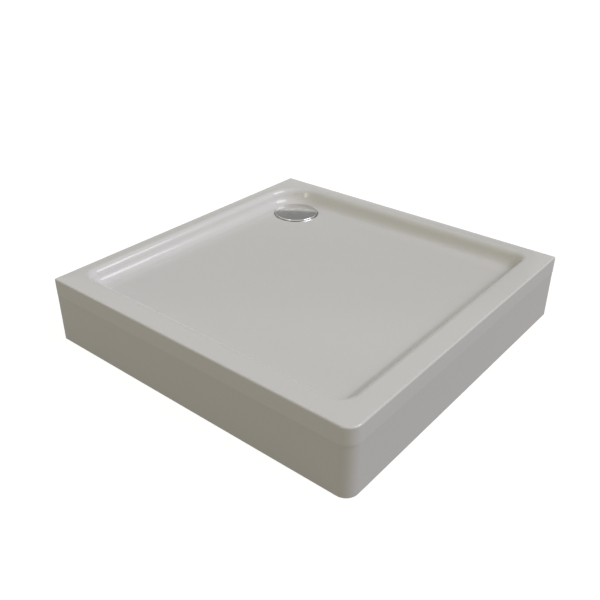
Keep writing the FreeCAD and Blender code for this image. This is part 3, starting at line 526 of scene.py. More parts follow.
class Sheet:
    """A material that is being built: its graph, its place on the piece and its shader."""

    def __init__(self, name: str, **sockets: object) -> None:
        """Start a material.

        Args:
            name: Name of the material.
            sockets: Values of the shader's own sockets, with spaces as underscores.
        """
        self.material = bpy.data.materials.new(name)
        self.material.use_nodes = True
        self.graph = Graph(self.material.node_tree)
        self.shader = self.material.node_tree.nodes["Principled BSDF"]
        self.place = self.graph.add("TexCoord").outputs["Object"]
        self.set(**sockets)

    def set(self, **sockets: object) -> None:
        """Set or link the shader's own sockets, named with spaces as underscores."""
        for key, value in sockets.items():
            self.graph.feed(self.shader.inputs[key.replace("_", " ")], value)

    def group(self, name: str, **inputs: object) -> bpy.types.NodeOutputs:
        """Place a shared group with its own values.

        Args:
            name: Key of the group.
            inputs: Values or outputs for its inputs.

        Returns:
            Its outputs.
        """
        node = self.graph.tree.nodes.new("ShaderNodeGroup")
        node.node_tree = GROUPS[name]
        self.graph.feed(node.inputs["Vector"], inputs.pop("Vector", self.place))
        for key, value in inputs.items():
            self.graph.feed(node.inputs[key], value)
        return node.outputs

    def bump(self, height: object, strength: float, distance: float) -> None:
        """Relief of the surface, strength from 0 to 1 and distance in metres."""
        node = self.graph.add("Bump", Height=height, Strength=strength, Distance=distance)
        self.set(Normal=node.outputs["Normal"])

    def grain(self, strength: float, distance: float, **inputs: float) -> None:
        """Relief of a moulded or cast surface.

        Args:
            strength: How much of the relief shows, from 0 to 1.
            distance: Height of the relief in metres.
            inputs: Values of the group "grain".
        """
        self.bump(self.group("grain", **inputs)["Height"], strength, distance)


@dataclass(frozen=True)
class Finish:
    """A finish that can build its material."""

    name: str

    def material(self) -> Material:
        """Build the finish.

        Returns:
            The material.
        """
        sheet = Sheet(self.name)
        self.lay(sheet, sheet.graph)
        return sheet.material

    def lay(self, sheet: Sheet, graph: Graph) -> None:
        """Join the nodes of the finish."""
        raise NotImplementedError


@dataclass(frozen=True)
class Acrylic(Finish):
    """Cast sanitary acrylic: glossy, with a slow ripple from vacuum forming."""

    colour: Colour = (0.68, 0.676, 0.668)
    shade: Colour = (0.667, 0.662, 0.652)
    gloss: float = 0.16
    ripple: float = 0.35

    def lay(self, sheet: Sheet, graph: Graph) -> None:
        """Join the nodes of the finish."""
        sheet.set(IOR=1.46, Coat_Weight=0.1, Coat_Roughness=0.06)
        tone = sheet.group("tone", Colour=self.colour, Other=self.shade, Scale=2.2, Amount=0.5)
        dust = sheet.group("dust", Scale=26.0, Amount=0.06)
        sheet.set(Base_Color=graph.mix(dust["Mask"], tone["Colour"], (0.6, 0.59, 0.57)))
        worn = graph.noise(sheet.place, scale=7.0, detail=2.0)
        sheet.set(Roughness=graph.span(worn, 0.2, 0.8, self.gloss, self.gloss + 0.05))
        sheet.grain(self.ripple, 0.3 * MM, Scale=420.0, Ripple_Scale=5.0, Ripple=0.93)


@dataclass(frozen=True)
class GlassfibreBack(Finish):
    """Back of the shell: chopped glass strands rolled into pale resin."""

    resin: Colour = (0.55, 0.53, 0.44)
    strand: Colour = (0.70, 0.69, 0.62)

    def lay(self, sheet: Sheet, graph: Graph) -> None:
        """Join the nodes of the finish."""
        sheet.set(IOR=1.5)
        layers = []
        for turn in (0.3, 1.35, 2.4):
            turned_place = graph.add("Mapping", Vector=sheet.place, Rotation=(0.0, 0.4, turn))
            fine = sheet.group("scratches", Vector=turned_place.outputs[0], Scale=700.0,
                               Length=0.06)
            layers.append(graph.span(fine["Height"], 0.5, 0.62))
        mat = graph.math("MAXIMUM", graph.math("MAXIMUM", layers[0], layers[1]), layers[2])
        tone = sheet.group("tone", Colour=self.resin, Other=(0.47, 0.45, 0.37), Scale=7.0,
                           Amount=0.8)
        sheet.set(Base_Color=graph.mix(graph.math("MULTIPLY", mat, 0.6), tone["Colour"],
                                       self.strand))
        sheet.set(Roughness=graph.span(mat, 0.0, 1.0, 0.32, 0.6))
        sheet.bump(mat, 0.6, 0.4 * MM)


@dataclass(frozen=True)
class Chrome(Finish):
    """Polished chromium plate with hairline scratches and a trace of limescale."""

    colour: Colour = (0.86, 0.865, 0.87)

    def lay(self, sheet: Sheet, graph: Graph) -> None:
        """Join the nodes of the finish."""
        sheet.set(Metallic=1.0)
        lime = sheet.group("dust", Scale=60.0, Amount=0.18)
        sheet.set(Base_Color=graph.mix(lime["Mask"], self.colour, (0.72, 0.72, 0.71)))
        turned_place = graph.add("Mapping", Vector=sheet.place, Rotation=(0.0, 0.0, 0.7))
        lines = sheet.group("scratches", Vector=turned_place.outputs[0], Scale=1400.0, Length=0.02)
        scratched = graph.span(lines["Height"], 0.55, 0.75, 0.05, 0.12)
        dulled = graph.math("MULTIPLY", lime["Mask"], 0.5)
        sheet.set(Roughness=graph.math("ADD", scratched, dulled))
        sheet.bump(lines["Height"], 0.02, 0.05 * MM)


@dataclass(frozen=True)
class PlatedSteel(Finish):
    """Plated or galvanised steel: crystals or a plain plate, with rubbed edges."""

    colour: Colour
    other: Colour
    gloss: float = 0.35
    crystal: float = 0.0
    relief: float = 0.1

    def lay(self, sheet: Sheet, graph: Graph) -> None:
        """Join the nodes of the finish."""
        sheet.set(Metallic=1.0)
        tone = sheet.group("tone", Colour=self.colour, Other=self.other, Scale=55.0, Amount=0.7)
        colour = tone["Colour"]
        rough = graph.span(tone["Mask"], 0.0, 0.7, self.gloss, self.gloss + 0.12)
        if self.crystal:
            cells = graph.add("TexVoronoi", Vector=sheet.place, Scale=self.crystal, Randomness=1.0)
            flake = graph.add("SeparateColor", Color=cells.outputs["Color"])
            colour = graph.mix(graph.math("MULTIPLY", flake.outputs[0], 0.5), colour, self.other)
            rough = graph.math("ADD", rough, graph.math("MULTIPLY", flake.outputs[1], 0.14))
        wear = sheet.group("wear", Scale=260.0, Amount=0.7)
        sheet.set(Base_Color=graph.mix(wear["Mask"], colour, (0.78, 0.78, 0.77)))
        sheet.set(Roughness=rough)
        sheet.grain(self.relief, 0.1 * MM, Scale=900.0, Ripple_Scale=120.0, Ripple=0.4)


@dataclass(frozen=True)
class TurnedSteel(Finish):
    """Stainless steel with turning lines round an upright axis."""

    centre: Pair
    colour: Colour = (0.62, 0.62, 0.61)

    def lay(self, sheet: Sheet, graph: Graph) -> None:
        """Join the nodes of the finish."""
        sheet.set(Metallic=1.0)
        middle = graph.add("Mapping", Vector=sheet.place,
                           Location=(-self.centre[0], -self.centre[1], 0.0))
        flat = graph.add("VectorMath", operation="MULTIPLY")
        graph.feed(flat.inputs[0], middle.outputs[0])
        flat.inputs[1].default_value = (1.0, 1.0, 0.0)
        reach = graph.add("VectorMath", operation="LENGTH")
        graph.feed(reach.inputs[0], flat.outputs[0])
        spread = graph.add("CombineXYZ", X=reach.outputs["Value"])
        lines = graph.noise(spread.outputs[0], scale=2600.0, detail=3.0)
        tone = sheet.group("tone", Colour=self.colour, Other=(0.5, 0.5, 0.49), Scale=40.0,
                           Amount=0.6)
        sheet.set(Base_Color=tone["Colour"])
        sheet.set(Roughness=graph.span(lines, 0.3, 0.7, 0.2, 0.36))
        sheet.bump(lines, 0.12, 0.04 * MM)


@dataclass(frozen=True)
class MouldedPlastic(Finish):
    """Moulded plastic with a fine eroded grain and scuffed edges."""

    colour: Colour
    other: Colour
    gloss: float = 0.42
    relief: float = 0.25

    def lay(self, sheet: Sheet, graph: Graph) -> None:
        """Join the nodes of the finish."""
        sheet.set(IOR=1.5)
        tone = sheet.group("tone", Colour=self.colour, Other=self.other, Scale=45.0, Amount=0.7)
        wear = sheet.group("wear", Scale=300.0, Amount=0.35)
        pale = tuple(0.6 * part + 0.28 for part in self.colour)
        worn = graph.mix(wear["Mask"], tone["Colour"], pale)
        dust = sheet.group("dust", Scale=70.0, Amount=0.25)
        sheet.set(Base_Color=graph.mix(dust["Mask"], worn, (0.45, 0.43, 0.4)))
        sheet.set(Roughness=graph.span(tone["Mask"], 0.0, 0.7, self.gloss, self.gloss + 0.15))
        sheet.grain(self.relief, 0.12 * MM, Scale=1500.0, Ripple_Scale=60.0, Ripple=0.25)


@dataclass(frozen=True)
class Rubber(Finish):
    """Black rubber, matt, with a bloom of dust."""

    colour: Colour = (0.022, 0.022, 0.023)

    def lay(self, sheet: Sheet, graph: Graph) -> None:
        """Join the nodes of the finish."""
        sheet.set(IOR=1.52)
        tone = sheet.group("tone", Colour=self.colour, Other=(0.045, 0.044, 0.043), Scale=80.0,
                           Amount=0.9)
        sheet.set(Base_Color=tone["Colour"])
        sheet.set(Roughness=graph.span(tone["Mask"], 0.0, 0.9, 0.62, 0.85))
        sheet.grain(0.3, 0.1 * MM, Scale=2200.0, Ripple_Scale=150.0, Ripple=0.3)


@dataclass(frozen=True)
class Chipboard(Finish):
    """Bare chipboard: pressed flakes of wood of mixed browns."""

    pale: Colour = (0.50, 0.36, 0.21)
    dark: Colour = (0.25, 0.155, 0.08)

    def lay(self, sheet: Sheet, graph: Graph) -> None:
        """Join the nodes of the finish."""
        sheet.set(IOR=1.45)
        warped = graph.add("Mapping", Vector=sheet.place, Scale=(1.0, 0.6, 2.0))
        flakes = graph.add("TexVoronoi", Vector=warped.outputs[0], Scale=560.0, Randomness=1.0)
        parts = graph.add("SeparateColor", Color=flakes.outputs["Color"])
        wood = graph.mix(parts.outputs[0], self.dark, self.pale)
        tone = sheet.group("tone", Colour=self.pale, Other=(0.40, 0.27, 0.15), Scale=9.0,
                           Amount=0.8)
        sheet.set(Base_Color=graph.mix(0.55, tone["Colour"], wood))
        sheet.set(Roughness=graph.span(parts.outputs[1], 0.0, 1.0, 0.6, 0.82))
        gaps = graph.span(flakes.outputs["Distance"], 0.0, 0.7, 1.0, 0.0)
        sheet.bump(gaps, 0.35, 0.3 * MM)


class Along(Enum):
    """Axis that timber's grain follows, as the turn that brings it to X."""

    X = 0.0
    Y = -math.pi / 2


@dataclass(frozen=True)
class Timber(Finish):
    """Planed softwood with its grain along the batten."""

    along: Along
    pale: Colour = (0.60, 0.42, 0.24)
    dark: Colour = (0.40, 0.245, 0.12)

    def lay(self, sheet: Sheet, graph: Graph) -> None:
        """Join the nodes of the finish."""
        sheet.set(IOR=1.45)
        turned_place = graph.add("Mapping", Vector=sheet.place,
                                 Rotation=(0.12, 0.05, self.along.value), Scale=(0.06, 1.0, 1.0))
        rings = graph.noise(turned_place.outputs[0], scale=95.0, detail=3.0)
        bands = graph.math("FRACT", graph.math("MULTIPLY", rings, 7.0))
        late = graph.span(bands, 0.25, 0.95)
        pores = sheet.group("scratches", Vector=turned_place.outputs[0], Scale=2200.0, Length=0.4)
        wood = graph.mix(graph.math("MULTIPLY", late, 0.75), self.pale, self.dark)
        pore = graph.span(pores["Height"], 0.55, 0.75, 0.0, 0.35)
        sheet.set(Base_Color=graph.mix(pore, wood, (0.30, 0.18, 0.09)))
        sheet.set(Roughness=graph.span(late, 0.0, 1.0, 0.72, 0.55))
        sheet.bump(graph.math("ADD", late, pores["Height"]), 0.25, 0.15 * MM)


# ---- the moulded shell -------------------------------------------------------------------------

@dataclass
class TrayShell:
    """White moulded shell: rim, turned-down lip, falling bowl and the recess of the waste."""

    open_rim: float = 44.5 * MM
    wall_rim: float = 24.5 * MM
    bowl_depth: float = 36 * MM
    draft: float = math.radians(12)
    fall: float = math.radians(0.6)
    rim_round: float = 15.8 * MM
    floor_round: float = 23 * MM
    waste_corner: float = 100.5 * MM
    side_corner: float = 43.5 * MM
    front_corner: float = 28 * MM
    outer_round: float = 4 * MM
    wall: float = 5 * MM
    lip: float = 39 * MM
    recess_radius: float = 60 * MM
    recess_depth: float = 3.5 * MM
    hole_radius: float = 45 * MM
    waste_inset: float = 125 * MM
    corner_steps: int = 18
    waste_steps: int = 28
    rim_steps: int = 12
    floor_steps: int = 12
    outer_steps: int = 6
    outer_corner_steps: int = 8
    front_corner_steps: int = 16
    round_share: float = 0.998
    hole_steps: int = 160
    cut: float = 10 * MM
    back_gap: float = 1.45 * MM
    low: Vector = field(init=False)
    high: Vector = field(init=False)

    def __post_init__(self) -> None:
        """Read the shell's box from the frame."""
        self.low, self.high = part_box("tray_shell")

    @property
    def waste(self) -> Vector:
        """Point on the floor at the middle of the waste."""
        return Vector((self.low.x + self.waste_inset, self.high.y - self.waste_inset,
                       self.high.z - self.bowl_depth))

    def build(self, front: Material, back: Material) -> None:
        """Model the shell, closed and smooth-shaded, and dress it.

        Args:
            front: Finish of the side that is seen.
            back: Finish of its laminated back.
        """
        shell = self._bowl()
        self._outside(shell)
        self._face_up(shell)
        fresh()
        shell.data.materials.append(front)
        shell.data.materials.append(back)
        apply_modifier(shell, "SOLIDIFY", thickness=self.wall, offset=-1.0, use_even_offset=False,
                       use_quality_normals=True, material_offset=1, material_offset_rim=0)
        self._inner_corners(shell)
        self._waste_seat(shell)
        smooth(shell)
        tie(named(shell, "shell"), "tray", "white_acrylic", "tray_shell")

    def _sheet(self, west: float, east: float, south: float, north: float, height: float) -> Piece:
        """Add a level rectangle as an object of its own."""
        fresh()
        bpy.ops.mesh.primitive_plane_add(
            size=1, location=((west + east) / 2, (south + north) / 2, height))
        bpy.ops.transform.resize(value=(east - west, north - south, 1))
        return settle(bpy.context.object)

    def _corner(self, sheet: Piece, x: float, y: float, radius: float, segments: int) -> None:
        """Round one corner of a level rectangle."""
        edit(sheet)
        pick(sheet, Part.VERTS, lambda spots: (spots[0].xy - Vector((x, y))).length < 0.1 * MM)
        bpy.ops.mesh.bevel(offset=radius, segments=segments, profile=0.5, affect="VERTICES",
                           clamp_overlap=False)
        fresh()

    def _bowl(self) -> Piece:
        """Sink the bowl from the rim: its round, its wall, and its floor on the slope."""
        west, east = self.low.x + self.wall_rim, self.high.x - self.open_rim
        south, north = self.low.y + self.open_rim, self.high.y - self.wall_rim
        shell = self._sheet(west, east, south, north, self.high.z)
        for x, y in ((west, south), (east, south), (east, north)):
            self._corner(shell, x, y, self.side_corner, self.corner_steps)
        self._corner(shell, west, north, self.waste_corner, self.waste_steps)
        edit(shell, "SELECT")
        for across, down in arc(math.pi / 2 - self.draft, self.rim_steps):
            bpy.ops.mesh.inset(thickness=self.rim_round * across, depth=-self.rim_round * down)
        bpy.ops.mesh.inset(thickness=self.bowl_depth * math.tan(self.draft), depth=-self.bowl_depth)
        slope = Matrix.Rotation(-self.fall, 3, Vector((1, 1, 0))) @ Vector((0, 0, 1))
        bpy.ops.mesh.select_all(action="SELECT")
        bpy.ops.mesh.bisect(plane_co=self.waste, plane_no=slope, use_fill=True, clear_inner=True)
        reach = self.floor_round * math.tan(math.pi / 4 - self.draft / 2)
        pick(shell, Part.EDGES, lambda spots: all(
            abs((spot - self.waste).dot(slope)) < NEAR for spot in spots))
        bpy.ops.mesh.bevel(offset=reach, segments=self.floor_steps, profile=0.5,
                           clamp_overlap=False)
        fresh()
        return shell

    def _outside(self, shell: Piece) -> None:
        """Add the rim's outer round and the lip, and fill the rim between its two lines."""
        outer = self._sheet(self.low.x, self.high.x, self.low.y, self.high.y,
                            self.high.z - self.outer_round)
        plain = (self.outer_round, self.outer_corner_steps)
        for x, y, (radius, segments) in (
                (self.low.x, self.low.y, plain),
                (self.high.x, self.low.y, (self.front_corner, self.front_corner_steps)),
                (self.high.x, self.high.y, plain),
                (self.low.x, self.high.y, plain)):
            self._corner(outer, x, y, radius, segments)
        edit(outer, "SELECT")
        for up, across in arc(math.pi / 2, self.outer_steps):
            bpy.ops.mesh.inset(thickness=self.round_share * self.outer_round * across,
                               depth=self.outer_round * up)
        bpy.ops.mesh.delete(type="ONLY_FACE")
        joined(shell, outer)
        edit(shell, "SELECT")
        bpy.ops.mesh.remove_doubles(threshold=0.05 * MM)
        level = self.high.z - NEAR
        pick(shell, Part.EDGES, lambda spots: all(spot.z > level for spot in spots), border=True)
        bpy.ops.mesh.fill(use_beauty=True)
        side = self.high.z - self.outer_round
        pick(shell, Part.EDGES, lambda spots: all(abs(spot.z - side) < NEAR and (
            max(abs(spot.x), abs(spot.y)) > self.high.x - self.front_corner) for spot in spots))
        extrude(z=self.outer_round - self.lip)

    def _face_up(self, shell: Piece) -> None:
        """Make every face's normal agree, with the rim's pointing up."""
        bpy.ops.mesh.select_all(action="SELECT")
        bpy.ops.mesh.normals_make_consistent(inside=False)
        mesh = bmesh.from_edit_mesh(shell.data)
        rim = [face for face in mesh.faces if all(v.co.z > self.high.z - MM for v in face.verts)]
        if sum(face.normal.z * face.calc_area() for face in rim) < 0:
            bpy.ops.mesh.select_all(action="SELECT")
            bpy.ops.mesh.flip_normals()

    def _inner_corners(self, shell: Piece) -> None:
        """Close up the back of the outer round, which is tighter than the shell is thick."""
        edit(shell)
        span = 1.3 * MM
        near = self.high.x - self.wall - 0.3 * MM
        far = self.high.x - self.wall + span
        under = self.high.z - self.wall

        def behind(spots: Sequence[Vector]) -> bool:
            """Whether a vertex lies on the back of the outer round."""
            edge = max(abs(spots[0].x), abs(spots[0].y))
            return near < edge < far and abs(spots[0].z - under) < span

        pick(shell, Part.VERTS, behind)
        bpy.ops.mesh.remove_doubles(threshold=self.back_gap)
        fresh()

    def _waste_seat(self, shell: Piece) -> None:
        """Add the seat of the waste under the floor, then cut the recess and the hole."""
        floor = self.waste
        under = floor.z - self.recess_depth
        steps = (
            ("UNION", self.recess_radius + self.wall, under - self.wall, floor.z - self.wall / 2),
            ("DIFFERENCE", self.recess_radius, under, floor.z + self.cut),
            ("DIFFERENCE", self.hole_radius, under - self.cut, floor.z + self.cut),
        )
        for operation, radius, low, high in steps:
            fresh()
            bpy.ops.mesh.primitive_cylinder_add(
                vertices=self.hole_steps, radius=radius, depth=high - low,
                location=(floor.x, floor.y, (low + high) / 2))
            cutter = settle(bpy.context.object)
            for finish in shell.data.materials:
                cutter.data.materials.append(finish)
            if operation == "UNION":
                for face in cutter.data.polygons:
                    face.material_index = 1
            merged(shell, cutter, operation)


# ---- the apron ---------------------------------------------------------------------------------

@dataclass
class Apron:
    """Flanged panel under the lip, folded round the front corner, and its clips."""

    wall: float = 4 * MM
    flange: float = 15 * MM
    corner: float = 26.8 * MM
    edge_round: float = 0.8 * MM
    clip_half: float = 20 * MM
    clip_sheet: float = 1.5 * MM
    clip_clearance: float = 0.3 * MM
    clip_round: float = 0.35 * MM
    clip_places: tuple[float, ...] = (-210 * MM, 210 * MM)
    screw_spread: float = 12 * MM
    low: Vector = field(init=False)
    high: Vector = field(init=False)

    def __post_init__(self) -> None:
        """Read the apron's box from the frame."""
        self.low, self.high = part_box("apron_panel")

    def build(self, finish: Material) -> None:
        """Model the apron from its section: a run, a turn and a run."""
        face, back, deep = self.low.y, self.low.y + self.wall, self.low.y + self.flange
        bottom, top = self.low.z, self.high.z
        section = ((face, bottom), (deep, bottom), (deep, bottom + self.wall),
                   (back, bottom + self.wall), (back, top - self.wall), (deep, top - self.wall),
                   (deep, top), (face, top))
        panel = chain([(self.low.x, y, z) for y, z in section])
        bpy.ops.mesh.select_all(action="SELECT")
        bpy.ops.mesh.edge_face_add()
        extrude(x=self.high.x - self.corner - self.low.x)
        centre = (self.high.x - self.corner, self.low.y + self.corner, 0)
        bpy.ops.mesh.spin(steps=20, angle=-math.pi / 2, center=centre, axis=(0, 0, 1))
        self._keep_turn(panel)
        extrude(y=self.high.y - self.low.y - self.corner)
        outward(panel)
        soften(panel, self.edge_round, segments=3, degrees=50)
        smooth(panel)
        dress(named(panel, "apron"), "apron", finish, "white_acrylic_apron", "apron_panel")

    def _keep_turn(self, panel: Piece) -> None:
        """Check that the section turned towards the open side, where the next run starts."""
        mesh = bmesh.from_edit_mesh(panel.data)
        reach = max(vert.co.x for vert in mesh.verts if vert.select)
        if abs(reach - self.high.x) > 0.1 * MM:
            raise ValueError(f"the apron's corner ends at {reach}, not at {self.high.x}")

    def clips(self, finish: Material, screws: "Screws") -> None:
        """Model one spring clip, and place it and its screws four times."""
        low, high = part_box("panel_clip_1")
        sheet = self.clip_sheet
        tip, batten = low.y, high.y - sheet
        shelf, top, under = low.z, high.z, low.z + sheet
        over = self.high.z + self.clip_clearance
        section = ((batten, top), (batten, over + sheet), (tip, over + sheet), (tip, over),
                   (batten, over), (batten, under), (tip, under), (tip, shelf),
                   (high.y, shelf), (high.y, top))
        model = drawn("clip", [(-self.clip_half, y, z) for y, z in section],
                      (2 * self.clip_half, 0, 0), self.clip_round)
        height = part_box("clip_screws")[0].z + screws.head_radius
        number = 0
        for turn in (0.0, math.pi / 2):
            side = Matrix.Rotation(turn, 4, "Z")
            for along in self.clip_places:
                number += 1
                place = side @ Matrix.Translation((along, 0, 0))
                clip = copied(model, f"clip_{number}", place)
                dress(clip, "tray", finish, "spring_steel", f"panel_clip_{number}")
                for part in (-self.screw_spread, self.screw_spread):
                    at = side @ Matrix.Translation((along + part, high.y, height))
                    screws.place(at @ Matrix.Rotation(math.pi / 2, 4, "X"), "clip_screws")
        bpy.data.objects.remove(model)


# ---- screws, feet and brackets -----------------------------------------------------------------

@dataclass
class Screws:
    """Pan-head screws with a cross recess, modelled once and copied."""

    finish: Material
    head_radius: float = 4 * MM
    head_height: float = 2.2 * MM
    shank_radius: float = 1.95 * MM
    shank: float = 12.5 * MM
    recess: float = 1.3 * MM
    recess_length: float = 4.2 * MM
    recess_width: float = 0.9 * MM
    model: Piece = field(init=False)
    count: int = field(init=False, default=0)

    def __post_init__(self) -> None:
        """Model the screw with its head's face down and the underside of its head at zero."""
        flat = 0.35 * self.head_height
        crown = [(out * self.head_radius, -up * self.head_height)
                 for out, up in ((0.45, 0.97), (0.75, 0.82), (0.94, 0.58))]
        profile = [(0.0, -self.head_height), *crown, (self.head_radius, -flat),
                   (self.head_radius, 0.0), (self.shank_radius, 0.0),
                   (self.shank_radius, 0.8 * self.shank), (0.0, self.shank)]
        self.model = turned("screw", Vector(), profile, steps=28)
        for turn in (0.0, math.pi / 2):
            fresh()
            bpy.ops.mesh.primitive_cube_add(size=1, location=(0, 0, -self.head_height))
            bpy.ops.transform.resize(value=(self.recess_length, self.recess_width, 2 * self.recess))
            slot = settle(bpy.context.object)
            edit(slot)
            pick(slot, Part.FACES, lambda spots: all(spot.z > -self.head_height for spot in spots))
            bpy.ops.transform.resize(value=(0.45, 0.6, 1))
            fresh()
            slot.matrix_world = Matrix.Rotation(turn, 4, "Z")
            merged(self.model, settle(slot), "DIFFERENCE")
        smooth(self.model, degrees=40)

    def place(self, at: Matrix, node: str) -> None:
        """Put one screw in its place, each turned a little differently."""
        self.count += 1
        spin = Matrix.Rotation(math.radians(37 * self.count % 90), 4, "Z")
        screw = copied(self.model, f"screw_{self.count:02d}", at @ spin)
        dress(screw, "tray", self.finish, "zinc", node)

    def done(self) -> None:
        """Remove the model."""
        bpy.data.objects.remove(self.model)


class Foot(Enum):
    """The levelling feet, as their nodes are named."""

    FRONT = "front"
    LEFT = "left"
    RIGHT = "right"
    WASTE_LEFT = "waste_left"
    WASTE_RIGHT = "waste_right"


@dataclass
class Feet:
    """Levelling feet: a moulded pad, a threaded spindle, a lock nut, a bracket and its screws."""

    pitch: float = 1.5 * MM
    crest: float = 5.0 * MM
    root: float = 4.15 * MM
    nut_flats: float = 17 * MM
    nut_height: float = 8 * MM
    collar_flats: float = 15 * MM
    collar_height: float = 6 * MM
    collar_rise: float = 13.1 * MM
    screw_spread: float = 21 * MM
    bracket_height: float = 42 * MM
    thread_steps: int = 20
    pad_neck: float = 10 * MM
    pad_base: float = 7 * MM
    pad_bed: float = 4.7 * MM
    pad_edge: float = 1 * MM
    pad_slope: float = 3 * MM
    pad_foot: float = 5 * MM
    pad_recess: float = 1.2 * MM
    pad_lead: float = 0.8 * MM
    pad_round: float = 0.35 * MM
    bracket_round: float = 0.3 * MM
    rib_half: float = 0.9 * MM
    ribs: int = 6

    def build(self, zinc: Material, dark: Material,
              galvanised: Material, screws: Screws) -> None:
        """Model each part of a foot once and place the five feet."""
        spindle, nut, pad = self._spindle(), self._nut(), self._pad()
        for foot in Foot:
            name = foot.value
            low, _, axis, _ = round_box(f"foot_spindle_{name}")
            at = Matrix.Translation(axis)
            dress(copied(spindle, f"spindle_{name}", Matrix.Translation((axis.x, axis.y, low.z))),
                  f"{name}_spindle", zinc, "zinc", f"foot_spindle_{name}")
            dress(copied(pad, f"pad_{name}", at), f"{name}_pad", dark, "dark_plastic",
                  f"foot_pad_{name}")
            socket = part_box(f"foot_bracket_{name}")[0].z
            lift = Matrix.Translation((axis.x, axis.y, socket - self.nut_height))
            dress(copied(nut, f"nut_{name}", lift @ Matrix.Rotation(low.x * 9, 4, "Z")),
                  "tray", zinc, "zinc", "foot_lock_nuts")
            bracket = traced(f"foot_bracket_{name}", f"bracket_{name}", degrees=30,
                             edge=self.bracket_round)
            dress(bracket, "tray", galvanised, "galvanised_steel", f"foot_bracket_{name}")
            head = socket + self.bracket_height
            for x in (-self.screw_spread, self.screw_spread):
                for y in (-self.screw_spread, self.screw_spread):
                    screws.place(at @ Matrix.Translation((x, y, head)), "bracket_screws")
        for model in (spindle, nut, pad):
            bpy.data.objects.remove(model)

    def _thread(self, low: float, high: float) -> Piece:
        """Length of thread about the Z axis, cut square at both ends.

        It starts more than a turn lower, so that the cut takes off the first turn's open border.
        """
        pitch = self.pitch
        turns = math.ceil((high - low) / pitch) + 2
        start = low - 1.437 * pitch
        rise = ((self.root, 0.0), (self.crest, 0.4), (self.crest, 0.52), (self.root, 0.92),
                (self.root, 1.0))
        rod = chain([(radius, 0, start + part * pitch) for radius, part in rise])
        fresh()
        apply_modifier(rod, "SCREW", angle=2 * math.pi, screw_offset=pitch, iterations=turns,
                       steps=self.thread_steps, render_steps=self.thread_steps,
                       use_merge_vertices=True, merge_threshold=NEAR)
        outward(rod)
        for height, inner in ((low, True), (high, False)):
            edit(rod, "SELECT")
            bpy.ops.mesh.bisect(plane_co=(0, 0, height), plane_no=(0, 0, 1), use_fill=True,
                                clear_inner=inner, clear_outer=not inner, threshold=0.001 * MM)
            fresh()
        outward(rod)
        return rod

    def _hexagon(self, flats: float, low: float, high: float) -> Piece:
        """Hexagonal prism with its corners turned off at both ends."""
        corner = flats / math.sqrt(3)
        turns = [side * math.pi / 3 for side in range(6)]
        points = [(corner * math.cos(turn), corner * math.sin(turn), low) for turn in turns]
        prism = drawn("hexagon", points, (0, 0, high - low))
        inner, outer = flats / 2 * 0.98, corner * 1.02
        rise = (outer - inner) * math.tan(math.radians(30))
        cone = turned("cone", Vector(), [(0.0, low), (inner, low), (outer, low + rise),
                                         (outer, high - rise), (inner, high), (0.0, high)],
                      steps=48)
        merged(prism, cone, "INTERSECT")
        clean(prism)
        return prism

    def _spindle(self) -> Piece:
        """Spindle with its thread and its spanner collar, its lower end at zero."""
        low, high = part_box("foot_spindle_front")
        rod = self._thread(0.0, high.z - low.z)
        collar = self._hexagon(self.collar_flats, self.collar_rise,
                               self.collar_rise + self.collar_height)
        joined(rod, collar)
        smooth(rod, degrees=25)
        return named(rod, "spindle")

    def _nut(self) -> Piece:
        """Lock nut with a countersunk bore, its lower face at zero."""
        height = self.nut_height
        nut = self._hexagon(self.nut_flats, 0.0, height)
        bore, sink = self.crest + 0.2 * MM, 0.9 * MM
        mouth = self.crest + 1.1 * MM
        drill = turned("drill", Vector(), [
            (0.0, -MM), (mouth, -MM), (mouth, 0.0), (bore, sink), (bore, height - sink),
            (mouth, height), (mouth, height + MM), (0.0, height + MM)],
            steps=40)
        merged(nut, drill, "DIFFERENCE")
        clean(nut)
        smooth(nut, degrees=25)
        return named(nut, "nut")

    def _pad(self) -> Piece:
        """Pad with a neck and six ribs, standing at zero about the Z axis."""
        low, high, _, radius = round_box("foot_pad_front")
        height, base, neck, slope = high.z - low.z, self.pad_base, self.pad_neck, self.pad_slope
        bore = self.crest + 0.35 * MM
        foot = radius - self.pad_foot
        pad = turned("pad", Vector(), [
            (0.0, self.pad_recess), (foot - MM, self.pad_recess), (foot, 0.0),
            (radius - self.pad_edge, 0.0), (radius, self.pad_edge), (radius, base - self.pad_edge),
            (radius - slope, base), (neck + slope, base), (neck, base + slope),
            (neck, height - self.pad_lead), (neck - self.pad_lead, height), (bore, height),
            (bore, self.pad_bed), (0.0, self.pad_bed)], steps=56, edge=self.pad_round)
        outline = ((neck - MM, base - MM), (radius - 4.2 * MM, base - MM),
                   (radius - 4.6 * MM, base + 0.6 * MM), (neck - MM, height - 5 * MM))
        for turn in range(self.ribs):
            rib = drawn("rib", [(out, -self.rib_half, up) for out, up in outline],
                        (0, 2 * self.rib_half, 0))
            rib.matrix_world = Matrix.Rotation(turn * 2 * math.pi / self.ribs, 4, "Z")
            merged(pad, settle(rib), "UNION")
        smooth(pad, degrees=30)
        return named(pad, "pad")


# ---- the waste and its trap --------------------------------------------------------------------

